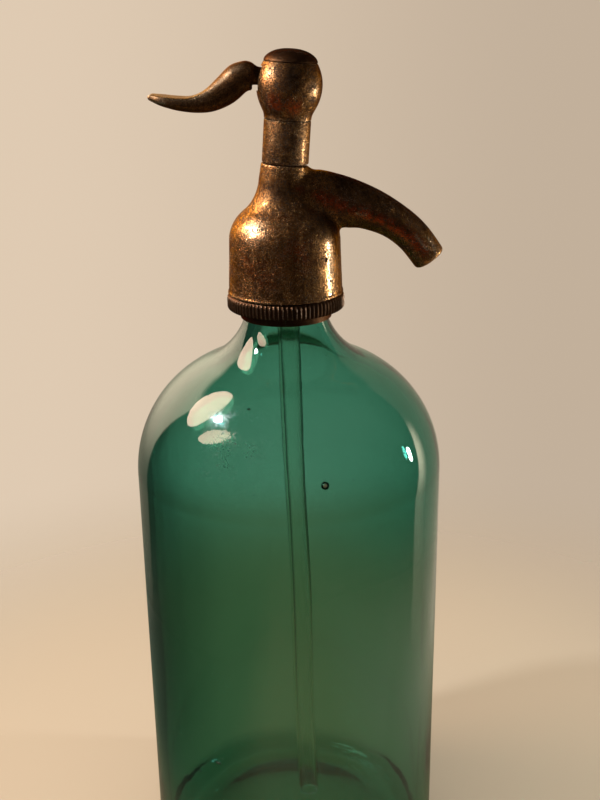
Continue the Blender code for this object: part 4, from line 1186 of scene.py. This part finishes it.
HEAD_COPPER = (
    ((-0.0060, -0.0175, 0.2280), 0.0080, 0.3),
    ((0.0040, -0.0185, 0.2340), 0.0090, 0.4),
    ((-0.0120, -0.0140, 0.2310), 0.0060, 0.25),
    ((0.0050, -0.0068, 0.2535), 0.0030, 0.6),
    ((0.0000, 0.0185, 0.2310), 0.0100, 0.4),
    ((-0.0150, 0.0100, 0.2280), 0.0070, 0.4),
)
# Painted highlights: a bright patch on the bell's left shoulder and a bright streak down its right side
HEAD_PAINTED_HIGHLIGHT = (((-0.0094, -0.0138, 0.2419), 0.0065, 0.6),)
BELL_PAINTED_HIGHLIGHT = ((0.0141, -0.0115, 0.2370), (0.0150, -0.0110, 0.2220))
# The copper runs along both sides of the spout
SPOUT_COPPER = (
    (0.0112, 0.0059, 0.2510), (0.0197, 0.0060, 0.2473), (0.0265, 0.0057, 0.2456),
    (0.0342, 0.0053, 0.2417), (0.0404, 0.0051, 0.2379), (0.0450, 0.0050, 0.2330),
)
SPOUT_SCRATCHES = (
    ((0.0423, -0.0050, 0.2378), (0.0440, -0.0049, 0.2355), (0.0460, -0.0048, 0.2333)),
    ((0.0467, -0.0037, 0.2365), (0.0482, -0.0038, 0.2345), (0.0490, -0.0040, 0.2320)),
    ((0.0230, -0.0058, 0.2455), (0.0262, -0.0058, 0.2447)),
)


def bell_shape(head):
    """The solid bell and neck, turned upright, then leaned from the bell's shoulder up."""
    side_top = head.bottom + head.side
    top_radius = head.radius - head.taper
    offset = 2 * head.arc - (top_radius - head.neck)
    rise = math.sqrt((2 * head.arc) ** 2 - offset**2)
    sweep = math.atan2(rise, offset)
    neck_z = side_top + rise
    outline = [(0, head.bottom), (head.radius + head.flare, head.bottom)]
    outline += [(head.radius + head.flare, head.bottom + 0.5 * head.flare_height)]
    outline += [(head.radius, head.bottom + head.flare_height)]
    outline += line(outline[-1], (top_radius, side_top), 10)
    outline += arc(top_radius - head.arc, side_top, head.arc, 0, sweep, 20)[1:]
    outline += arc(head.neck + head.arc, neck_z, head.arc, math.pi + sweep, math.pi, 20)[1:]
    outline += line(outline[-1], (head.neck - head.neck_taper, head.top), 8)
    outline += [(0, head.top)]
    shape = turned(outline, 128)
    low, high = head.pivot - head.lean_start, head.pivot + head.lean_end
    for vert in shape.verts:
        lean = head.lean * smooth(part_of(vert.co.z, low, high))
        up = vert.co.z - head.pivot
        vert.co = Vector((
            vert.co.x * math.cos(lean) + up * math.sin(lean),
            vert.co.y,
            head.pivot + up * math.cos(lean) - vert.co.x * math.sin(lean),
        ))
    return shape


def hollow_head(context, made):
    """Cuts the bell's bore, the passage, the valve chamber and the spout's bore."""
    head, spout = context.scene.siphon_head, context.scene.siphon_spout
    passage_top = head.pocket + 0.001
    under, over = head.bottom - OVERRUN, head.top + OVERRUN
    combine(made, turned([
        (0, under), (head.bore, under), (head.bore, head.bore_top), (head.seal_bore, head.bore_top),
        (head.seal_bore, head.seal_top), (head.passage, head.seal_top),
        (head.passage, passage_top), (0, passage_top),
    ], 96), "DIFFERENCE")
    combine(made, turned([
        (0, head.pocket), (head.chamber, head.pocket), (head.chamber, head.chamber_top),
        (head.packing, head.chamber_top), (head.packing, over), (0, over),
    ], 48), "DIFFERENCE", head_lean(context))
    route = [(centre, direction, spout.bore, spout.bore) for centre, direction, _, _ in
             spout_stations(context, 24)]
    centre, direction = route[-1][:2]
    route.append((centre + direction * OVERRUN, direction, spout.bore, spout.bore))
    combine(made, lofted(route, 24, 2), "DIFFERENCE")


def soften_root(shape, head, bell_tree, arm_tree):
    """Smooths the cast fillet where the spout leaves the bell."""
    near = [
        vert for vert in shape.verts
        if vert.co.xy.length > head.chamber + 0.001
        and bell_tree.find_nearest(vert.co)[3] < head.fillet
        and arm_tree.find_nearest(vert.co)[3] < head.fillet
    ]
    for _ in range(FILLET_PASSES):
        bmesh.ops.smooth_vert(
            shape, verts=near, factor=0.5, use_axis_x=True, use_axis_y=True, use_axis_z=True
        )


def mark_head(shape, head):
    """Marks the bell's and the spout's wear, coppery places and scratches, with painted shade and painted
    highlights.
    """
    mark_wear(shape, 150, 900, 3)
    shape.normal_update()
    worn, grime = layer_of(shape, "worn"), layer_of(shape, "grime")
    for vert in shape.verts:
        # Painted shade darkens the spout, more on its upward faces; the wear on the bell's lower edge fades
        # out to the right, leaving a painted highlight at the left
        out = part_of(vert.co.x, 0.010, 0.018) * (vert.co.z > head.bottom + 0.020)
        vert[grime] = out * (0.62 + 0.25 * vert.normal.z)
        vert[worn] *= 0.5 * (1 - out)
        if vert.co.z < head.bottom + 0.0015:
            vert[worn] *= min(1, max(0.25, -vert.co.x / 0.012))
    # Painted shade at the spout's root, on the bell's front right and on the neck's left
    mark_patch(shape, "grime", HEAD_PAINTED_SHADE)
    for side in (-1, 1):
        mark_line(shape, "copper", [(x, y * side, z) for x, y, z in SPOUT_COPPER], 0.0036, 0.95)
    mark_patch(shape, "copper", HEAD_COPPER)
    for points in SPOUT_SCRATCHES:
        mark_line(shape, "worn", points, 0.0006, 1)
    # Painted highlights on the bell's left shoulder and down its right side
    mark_patch(shape, "worn", HEAD_PAINTED_HIGHLIGHT)
    mark_line(shape, "worn", BELL_PAINTED_HIGHLIGHT, 0.0030, 0.25)
    copper = layer_of(shape, "copper")
    for vert in shape.verts:
        vert[grime] *= 1 - 0.8 * vert[copper]


class SIPHON_OT_head(Operator):
    """Casts the bell with its neck and curved spout in one"""

    bl_idname = "siphon.head"
    bl_label = "Bell and spout"

    def execute(self, context):
        head, spout = context.scene.siphon_head, context.scene.siphon_spout
        shape = bell_shape(head)
        arm = lofted(round_end(spout_stations(context, 48), spout.tip_round), 64, spout.squareness)
        bell_tree, arm_tree = BVHTree.FromBMesh(shape), BVHTree.FromBMesh(arm)
        made = object_of("bell_and_spout", shape)
        combine(made, arm, "UNION")
        hollow_head(context, made)
        remesh = made.modifiers.new("remesh", "REMESH")
        remesh.mode = "VOXEL"
        remesh.voxel_size = head.voxel
        bake_modifiers(made)
        shape = opened(made)
        soften_root(shape, head, bell_tree, arm_tree)
        for vert in shape.verts:  # the remesh leaves the lower edge uneven
            if vert.co.z < head.bottom + 0.5 * head.voxel:
                vert.co.z = head.bottom
        roughen(shape, 0.006, 0.00006, 2)
        roughen(shape, 0.0016, 0.000025, 8)
        dent(shape, HEAD_DENTS)
        mark_head(shape, head)
        put_back(shape, made)
        finish_piece(made, "cast metal", ["head_body"], sharp=60)
        return {"FINISHED"}


# Painted shade: darker patches on the stem's front, back and sides
STEM_PAINTED_SHADE = (
    ((0.0020, -0.0075, 0.2680), 0.0065, 0.65),
    ((0, 0.0075, 0.2650), 0.0060, 0.4),
    ((-0.0060, -0.0045, 0.2660), 0.0080, 0.5),
    ((0.0060, -0.0045, 0.2650), 0.0060, 0.35),
)


class SIPHON_OT_stem(Operator):
    """Turns the round stem between the neck and the ball"""

    bl_idname = "siphon.stem"
    bl_label = "Stem"

    def execute(self, context):
        s = context.scene.siphon_stem
        outline = eased([
            (s.rod_hole, s.spigot), (s.spigot_radius, s.spigot), (s.spigot_radius, s.foot),
            (s.radius, s.foot), (s.radius, s.top), (s.socket_radius, s.top), (s.socket_radius, s.socket),
            (s.bore, s.socket), (s.bore, s.floor), (s.rod_hole, s.floor),
        ], s.stem_round)
        shape = turned(outline, s.steps)
        mark_wear(shape, 200, 900, 1, 0.4)
        # Painted shade on the stem
        mark_patch(shape, "grime", STEM_PAINTED_SHADE)
        made = object_of("round_stem", shape, head_lean(context))
        finish_piece(made, "ball metal", ["stem_sleeve"])
        return {"FINISHED"}


BALL_DENTS = (
    ((0.0007, -0.0098, 0.2815), 0.0007, 0.0004),
    ((0.0086, -0.0081, 0.2850), 0.0026, 0.0003),
    ((0.0100, -0.0066, 0.2828), 0.0022, 0.00025),
    ((0.0074, -0.0088, 0.2872), 0.0018, 0.0002),
    ((0.0094, -0.0066, 0.2868), 0.0014, 0.00012),
    ((-0.0060, -0.0080, 0.2870), 0.0008, 0.0002),
    ((0.0010, 0.0103, 0.2850), 0.0012, 0.0003),
)
BALL_PATCHES = (
    # Painted highlights on the ball's left and right
    ("worn", (
        ((-0.0035, -0.0079, 0.2890), 0.0045, 0.12),
        ((0.0102, -0.0066, 0.2841), 0.0035, 0.16),
    )),
    ("copper", (
        ((-0.0022, -0.0088, 0.2800), 0.0048, 1.0),
        ((0.0030, -0.0085, 0.2793), 0.0045, 0.9),
        ((0.0000, 0.0090, 0.2800), 0.0040, 0.6),
    )),
    # Painted shade on the ball's front, near the cap and at the lever's window
    ("grime", (
        ((0.0024, -0.0100, 0.2875), 0.0062, 0.8),
        ((0.0030, -0.0085, 0.2905), 0.0040, 0.4),
        ((-0.0095, 0.0000, 0.2850), 0.0050, 0.8),
    )),
)
BALL_STEPS = 48
BALL_BLEND = 13  # the higher, the tighter the hollow between ball and stem


def ball_outside(s, height):
    """Radius of the ball at a height: an egg that runs into a cylinder of the stem's radius."""
    half = s.ball_half if height < s.ball_centre else s.ball_shoulder
    part = min(1, abs(height - s.ball_centre) / half)
    egg = s.ball_radius * math.sqrt(1 - part**2) / s.radius
    return s.radius * (egg**BALL_BLEND + 1) ** (1 / BALL_BLEND)


class SIPHON_OT_ball(Operator):
    """Turns the ball, with its window for the lever and its seat for the screw"""

    bl_idname = "siphon.ball"
    bl_label = "Ball"

    def execute(self, context):
        s, lever = context.scene.siphon_stem, context.scene.siphon_lever
        outline = [(s.rod_hole, s.ball_spigot), (s.ball_spigot_radius, s.ball_spigot)]
        outline.append((s.ball_spigot_radius, s.ball_foot))
        for index in range(BALL_STEPS + 1):
            height = s.ball_foot + (s.ball_top - s.ball_foot) * index / BALL_STEPS
            outline.append((ball_outside(s, height), height))
        outline += [(s.cavity, s.ball_top), (s.cavity, s.ball_floor), (s.rod_hole, s.ball_floor)]
        made = object_of("pivot_ball", turned(eased(outline, s.ball_round), s.steps))
        half = lever.fork + lever.clearance
        combine(made, block(
            (-s.ball_radius - OVERRUN, -half, lever.pivot_height - lever.window_below),
            (-lever.pivot_reach, half, lever.pivot_height + lever.window_above),
        ), "DIFFERENCE")
        for radius, low, high in (
            (lever.hole, -lever.screw_front - GAP, s.ball_radius),
            (lever.screw_head + GAP, lever.screw_back - GAP, s.ball_radius + OVERRUN),
        ):
            hole = along_y(pin(radius, low, high), -lever.pivot_reach, lever.pivot_height)
            combine(made, hole, "DIFFERENCE")
        shape = opened(made)
        mark_wear(shape, 200, 900, 1, 0.35)
        bmesh.ops.transform(shape, matrix=head_lean(context), verts=shape.verts)
        dent(shape, BALL_DENTS)
        for name, patches in BALL_PATCHES:
            mark_patch(shape, name, patches)
        put_back(shape, made)
        finish_piece(made, "ball metal", ["ball_housing"])
        return {"FINISHED"}


CAP_STEPS = 24
CAP_DENTS = (((0.0051, -0.0058, 0.2945), 0.0006, 0.00025),)
CAP_RUBBED = (
    ((0.0050, -0.0056, 0.2949), 0.0006, 0.9),
    ((-0.0052, -0.0050, 0.2935), 0.003, 0.12),
)


class SIPHON_OT_cap(Operator):
    """Turns the screwed cap of the ball"""

    bl_idname = "siphon.cap"
    bl_label = "Cap"

    def execute(self, context):
        s = context.scene.siphon_stem
        rim = ball_outside(s, s.ball_top) - s.cap_inset
        spigot = s.cavity - GAP
        bore = spigot - s.cap_wall
        low = s.cap_foot - s.cap_spigot
        dome = s.cap_foot + s.cap_edge
        outline = [(0, s.cap_roof), (bore, s.cap_roof), (bore, low), (spigot, low), (spigot, s.cap_foot)]
        outline += [(rim - s.ball_round, s.cap_foot), (rim, s.cap_foot + s.ball_round)]
        # Steep at the rim and flatter than a ball on top
        for index in range(CAP_STEPS + 1):
            along = math.cos(QUARTER_TURN * index / CAP_STEPS)
            outline.append((rim * along, dome + (s.cap_top - dome) * (1 - along**2.3) ** 0.62))
        outline[-1] = (0, s.cap_top)
        shape = turned(outline, s.steps)
        bmesh.ops.transform(shape, matrix=head_lean(context), verts=shape.verts)
        dent(shape, CAP_DENTS)
        mark_patch(shape, "worn", CAP_RUBBED)
        made = object_of("ball_screw_cap", shape)
        finish_piece(made, "cap metal", ["ball_cap"])
        return {"FINISHED"}


LEVER_SCRATCH = ((-0.0412, -0.0036, 0.2812), (-0.0365, -0.0058, 0.2802))


def fork_shape(lever):
    """The eye round the pivot and the knuckle under the rod's nut, as one long link."""
    end = QUARTER_TURN - math.asin((lever.eye - lever.knuckle) / lever.pivot_reach)
    fork = bmesh.new()
    points = arc(lever.pivot_reach, 0, lever.knuckle, -end, end, 20)
    points += arc(0, 0, lever.eye, end, math.tau - end, 20)
    face = fork.faces.new([fork.verts.new((x, -lever.fork, z)) for x, z in points])
    extruded = bmesh.ops.extrude_face_region(fork, geom=[face])["geom"]
    moved = [item for item in extruded if isinstance(item, bmesh.types.BMVert)]
    bmesh.ops.translate(fork, verts=moved, vec=(0, 2 * lever.fork, 0))
    bmesh.ops.recalc_face_normals(fork, faces=fork.faces)
    return fork


def mark_lever(shape, lever, stations):
    """Marks the lever's painted shade and painted highlights, and the wear on its thumb end."""
    worn, grime = layer_of(shape, "worn"), layer_of(shape, "grime")
    shape.normal_update()
    for vert in shape.verts:
        # Painted shade where it enters the ball, over the hump (lighter on its upward faces) and under the
        # thumb end; a painted highlight on faces turned up, left and forward, and wear on the thumb end's
        # top
        if vert.co.x > -0.15 * lever.reach:
            vert[grime] = 0.8
            continue
        share_out = -vert.co.x / lever.reach
        upper = max(0, vert.normal.z * 0.75 - vert.normal.x * 0.55 - vert.normal.y * 0.1)
        flat = part_of(share_out, 0.45, 0.6)
        under = part_of(vert.normal.z, 0.25, -0.05)
        hump = 0.64 - 0.3 * max(0, vert.normal.z)
        vert[worn] = min(1, 0.12 * upper**2 + 0.3 * flat * (1 - under))
        vert[grime] = flat * 0.4 * under + (1 - flat) * hump
    # A painted highlight along the front of the hump
    ridge = []
    for centre, direction, half_depth, half_width in stations:
        if 0.22 < -centre.x / lever.reach < 0.62:
            across = Vector((0, 1, 0)).cross(direction)
            ridge.append(centre + across * 0.66 * half_depth - Vector((0, 0.77 * half_width, 0)))
    mark_line(shape, "worn", ridge, 0.0014, 0.35)
    for vert in shape.verts:
        vert[grime] *= 1 - vert[worn]


class SIPHON_OT_lever(Operator):
    """Casts the lever, from its thumb end to the fork inside the ball"""

    bl_idname = "siphon.lever"
    bl_label = "Lever"

    def execute(self, context):
        lever = context.scene.siphon_lever
        sizes = (-lever.reach, lever.fall, lever.half_depth, lever.half_width)
        stations = curved_stations(LEVER_SHARES, 120, sizes, Vector((0, 0, 0)), 9)
        stations = round_end(stations, lever.tip_round)

        def blade(part):
            return part_of(part, 0.5, 0.75)

        made = object_of("thumb_lever", lofted(stations, 64, lever.squareness, blade, lever.dish))
        combine(made, fork_shape(lever), "UNION")
        combine(made, block(
            (lever.pivot_reach - lever.slot_depth, -lever.slot, -lever.eye - OVERRUN),
            (lever.pivot_reach + OVERRUN, lever.slot, lever.eye + OVERRUN),
        ), "DIFFERENCE")
        hole = pin(lever.hole, -lever.fork - OVERRUN, lever.fork + OVERRUN)
        combine(made, along_y(hole, 0, 0), "DIFFERENCE")
        shape = opened(made)
        roughen(shape, 0.004, 0.00005, 6)
        mark_lever(shape, lever, stations)
        bmesh.ops.transform(shape, matrix=lever_place(context), verts=shape.verts)
        mark_line(shape, "worn", LEVER_SCRATCH, 0.0008, 1)
        put_back(shape, made)
        finish_piece(made, "lever metal", ["lever"], body="lever")
        return {"FINISHED"}


class SIPHON_OT_screw(Operator):
    """Turns the lever's pivot screw and slots its head"""

    bl_idname = "siphon.screw"
    bl_label = "Pivot screw"

    def execute(self, context):
        lever = context.scene.siphon_lever
        top = lever.screw_back + lever.head_height
        outline = eased([
            (0, -lever.screw_front), (lever.screw, -lever.screw_front), (lever.screw, lever.screw_back),
            (lever.screw_head, lever.screw_back), (lever.screw_head, top), (0, top),
        ], lever.screw_round)
        made = object_of("lever_pivot_screw", along_y(turned(outline, 48), 0, 0))
        reach = lever.screw_head + OVERRUN
        combine(made, block(
            (-reach, top - lever.slot_floor, -lever.screw_slot), (reach, top + OVERRUN, lever.screw_slot)
        ), "DIFFERENCE")
        made.data.transform(lever_place(context))
        finish_piece(made, "turned brass", ["pivot_screw"])
        return {"FINISHED"}


class SIPHON_OT_spring(Operator):
    """Winds the return spring at rest; in use it shortens as the rod's flange rises under it"""

    bl_idname = "siphon.spring"
    bl_label = "Return spring"

    def execute(self, context):
        stem = context.scene.siphon_stem
        tall = stem.spring_top - stem.spring_foot
        steps = 36 * stem.spring_turns
        start = Matrix.Translation((stem.spring_radius, 0, stem.spring_foot + stem.spring_wire))
        shape = bmesh.new()
        bmesh.ops.create_circle(
            shape, segments=12, radius=stem.spring_wire, matrix=start @ Matrix.Rotation(QUARTER_TURN, 4, "X")
        )
        bmesh.ops.spin(
            shape, geom=[*shape.verts, *shape.edges], cent=(0, 0, 0), axis=(0, 0, 1), steps=steps,
            angle=math.tau * stem.spring_turns, dvec=(0, 0, (tall - 2 * stem.spring_wire) / steps),
            use_merge=False,
        )
        close_ends(shape)
        lean = head_lean(context)
        made = object_of("wound_return_spring", shape, lean)
        finish_piece(made, "spring steel", ["return_spring"], sharp=60)
        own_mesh(made)
        return {"FINISHED"}


class SIPHON_OT_inner(Operator):
    """Gives the pieces inside the head their finishes"""

    bl_idname = "siphon.inner"
    bl_label = "Inner pieces"

    def execute(self, context):
        by_slot = {
            "porcelain": "glazed porcelain", "rubber": "old rubber", "leather": "hard leather",
            "brass": "turned brass", "spring_steel": "spring steel",
        }
        for row in frame["record"]["subparts"]:
            node = frame["nodes"][row["node"]]
            if row["material_slot"] in by_slot and not node.hide_render:
                node.data.materials.clear()
                node.data.materials.append(bpy.data.materials[by_slot[row["material_slot"]]])
        return {"FINISHED"}


CREAM, CLEAR = (1, 0.7, 0.52), (0.88, 0.94, 1)
LAMP_AIM = (0, 0, 0.22)
# Name, place, width and height, watts, colour, and the direction of the longer way
LAMPS = (
    ("left upper", (-0.206, 0.044, 0.376), (0.175, 0.105), 0.58, CREAM, (126, 48, 112)),
    ("left lower", (-0.234, -0.095, 0.357), (0.135, 0.06), 0.23, CREAM, (82, -75, 75)),
    ("left core", (-0.206, -0.036, 0.393), (0.025, 0.025), 0.8, CLEAR, (0, 1, 0)),
    ("right lamp", (0.29, 0.03, 0.187), (0.018, 0.05), 0.4, CLEAR, (0, 1, 0)),
)


def add_lamp(name, place, size, power, tone, long_way):
    """An oval area lamp that looks at the head, its longer way along a direction."""
    data = bpy.data.lights.new(name, "AREA")
    data.shape = "ELLIPSE"
    data.size, data.size_y = size
    data.energy = power
    data.color = tone
    lamp = bpy.data.objects.new(name, data)
    bpy.context.scene.collection.objects.link(lamp)
    back = (Vector(place) - Vector(LAMP_AIM)).normalized()
    up = back.cross(Vector(long_way)).normalized()
    turn = Matrix((up.cross(back), up, back)).transposed().to_4x4()
    lamp.matrix_world = Matrix.Translation(place) @ turn
    lamp.visible_camera = False


def make_floor(stage):
    """A pale disc that fades out at its rim; metal and glass see it in the tones of a dim room."""
    shape = bmesh.new()
    bmesh.ops.create_circle(shape, cap_ends=True, segments=128, radius=stage.floor_radius)
    floor = object_of("pale_floor", shape)
    net, shader, output = new_material("pale floor")
    point = net.node("TexCoord").outputs["Object"]
    x, y, _ = net.node("SeparateXYZ", {0: point}).outputs
    ray = net.node("LightPath").outputs
    seen = tuple(stage.floor_colour)
    tone = net.mix(net.noise(point, 9, 3), seen, tuple(value * 0.97 for value in seen))
    # Glass sees it as a painted brown glow, with painted shade to the left
    shade = net.ramp(x, -0.13, -0.03, 0.22, 1)
    through = net.node("Emission", {"Color": (0.52, 0.28, 0.14, 1), "Strength": shade}).outputs[0]
    # Metal shows it dark behind and to the left, warm in front and pale to the right
    mirrored = net.mix(net.ramp(y, 0.2, -0.25), (0.05, 0.07, 0.04), (0.5, 0.36, 0.2))
    mirrored = net.mix(net.ramp(x, -0.03, -0.12), mirrored, (0.04, 0.07, 0.05))
    mirrored = net.mix(net.ramp(x, 0.06, 0.16), mirrored, (0.6, 0.55, 0.42))
    net.put(shader.inputs["Base Color"], net.mix(ray["Is Glossy Ray"], tone, mirrored))
    shader.inputs["Roughness"].default_value = 0.6
    shader.inputs["Specular IOR Level"].default_value = 0.2
    away = net.vector("LENGTH", point)
    fade = net.ramp(away, 0.35 * stage.floor_radius, 0.9 * stage.floor_radius)
    clear = net.node("BsdfTransparent")
    lit = net.node("MixShader", {0: ray["Is Transmission Ray"], 1: shader.outputs[0], 2: through})
    mixed = net.node("MixShader", {0: fade, 1: lit.outputs[0], 2: clear.outputs[0]})
    net.tree.links.new(mixed.outputs[0], output.inputs["Surface"])
    floor.data.materials.append(bpy.data.materials["pale floor"])


def make_world(stage):
    """Pale air behind the object, a dim room in front of it, and a soft fill."""
    world = bpy.data.worlds.new("studio")
    world.use_nodes = True
    bpy.context.scene.world = world
    net = Net(world.node_tree)
    light = world.node_tree.nodes["Background"]
    ray = net.node("LightPath").outputs
    direction = net.node("TexCoord").outputs["Generated"]
    x, y, z = net.node("SeparateXYZ", {0: direction}).outputs
    pale = tuple(stage.backdrop)
    # The camera sees air that grows darker to the right
    seen = net.scaled(pale, net.ramp(x, -0.25, 0.25, 1.12, 0.82))
    # Metal and glass mirror a wall behind the object; its two edges lean with height
    right = net.ramp(x, -0.15, 0.15)
    leftward = net.math("MULTIPLY_ADD", z, -0.2, 0.55)
    leftward = net.math("MULTIPLY_ADD", net.math("MAXIMUM", z, 0), -0.15, leftward)
    rightward = net.math("MULTIPLY_ADD", z, 0.22, 0.38)
    edge = net.node("Mix", {0: right, 2: leftward, 3: rightward}).outputs[0]
    wall = net.times(net.ramp(net.subtract(y, edge), -0.02, 0.02), net.ramp(z, 0.66, 0.57))
    wall = net.times(wall, net.math("MAXIMUM", right, net.ramp(z, -0.36, -0.12, 0.4, 1)))
    # The wall is lit near the left lamps, and by a tall window at the right
    near = net.vector("DOT_PRODUCT", direction, (-0.52, 0.6, 0.6))
    glow = net.add(net.ramp(x, 0.9, -0.9, 0.62, 1.1), net.ramp(near, 0.62, 1, 0, 5))
    slope = net.math("DIVIDE", y, net.math("MAXIMUM", x, 0.01))
    window = net.times(net.ramp(slope, 0.68, 0.4, 0, 9), net.ramp(z, 0.3, 0.12))
    window = net.times(window, net.ramp(z, -0.45, 0.02, 0.08, 1))
    glow = net.math("MULTIPLY_ADD", window, right, glow)
    lit = net.scaled((0.56, 0.49, 0.35), glow)
    mirrored = net.mix(wall, tuple(value * 0.045 for value in pale), lit)
    # Glass lets the same air through, darker in front and at the left, and brown low down
    depth = net.times(net.ramp(y, -0.3, 0.3, 0.35, 1), net.ramp(x, -0.4, -0.1, 0.3, 1.1))
    depth = net.times(depth, net.ramp(x, -0.15, 0.35, 1, 0.82))
    lower = net.mix(net.ramp(z, -0.4, -0.5), pale, (0.56, 0.32, 0.18))
    tone = net.mix(ray["Is Glossy Ray"], (0.72, 0.68, 0.62), mirrored)
    tone = net.mix(ray["Is Transmission Ray"], tone, net.scaled(lower, depth))
    net.put(light.inputs["Color"], net.mix(ray["Is Camera Ray"], tone, seen))
    light.inputs["Strength"].default_value = 1


class SIPHON_OT_stage(Operator):
    """Sets the pale floor, the soft lamps and the camera"""

    bl_idname = "siphon.stage"
    bl_label = "Stage"

    def execute(self, context):
        scene, stage = context.scene, context.scene.siphon_stage
        scene.view_settings.view_transform = "Standard"
        make_floor(stage)
        make_world(stage)
        for lamp in LAMPS:
            add_lamp(*lamp)
        data = bpy.data.cameras.new("camera")
        data.lens = stage.lens
        data.sensor_width = 36  # millimetres
        data.clip_start = 0.01
        camera = bpy.data.objects.new("camera", data)
        scene.collection.objects.link(camera)
        turn = Matrix.Rotation(QUARTER_TURN - stage.pitch, 4, "X") @ Matrix.Rotation(stage.roll, 4, "Z")
        camera.matrix_world = Matrix.Translation(stage.camera) @ turn
        scene.camera = camera
        return {"FINISHED"}


PIECES = (
    SIPHON_OT_finishes, SIPHON_OT_bottle, SIPHON_OT_dip_tube, SIPHON_OT_collar, SIPHON_OT_ring,
    SIPHON_OT_head, SIPHON_OT_stem, SIPHON_OT_ball, SIPHON_OT_cap, SIPHON_OT_lever, SIPHON_OT_screw,
    SIPHON_OT_spring, SIPHON_OT_inner, SIPHON_OT_stage,
)
GROUPS = (
    ("siphon_bottle", BottleSizes), ("siphon_head", HeadSizes), ("siphon_spout", SpoutSizes),
    ("siphon_stem", StemSizes), ("siphon_lever", LeverSizes), ("siphon_finishes", Finishes),
    ("siphon_stage", StageSizes),
)


class SIPHON_PT_panel(Panel):
    """Lists the siphon's pieces and their sizes"""

    bl_label = "Soda siphon"
    bl_idname = "SIPHON_PT_panel"
    bl_space_type = "VIEW_3D"
    bl_region_type = "UI"
    bl_category = "Siphon"

    def draw(self, context):
        for piece in PIECES:
            self.layout.operator(piece.bl_idname)
        for name, group in GROUPS:
            box = self.layout.box()
            for key in group.__annotations__:
                box.prop(getattr(context.scene, name), key)


def register():
    for name, group in GROUPS:
        bpy.utils.register_class(group)
        setattr(bpy.types.Scene, name, PointerProperty(type=group))
    for made in (*PIECES, SIPHON_PT_panel):
        bpy.utils.register_class(made)


def unregister():
    for made in reversed((*PIECES, SIPHON_PT_panel)):
        bpy.utils.unregister_class(made)
    for name, group in reversed(GROUPS):
        delattr(bpy.types.Scene, name)
        bpy.utils.unregister_class(group)


def main():
    register()
    for piece in PIECES:
        category, name = piece.bl_idname.split(".")
        getattr(getattr(bpy.ops, category), name)()


if __name__ == "__main__":
    main()
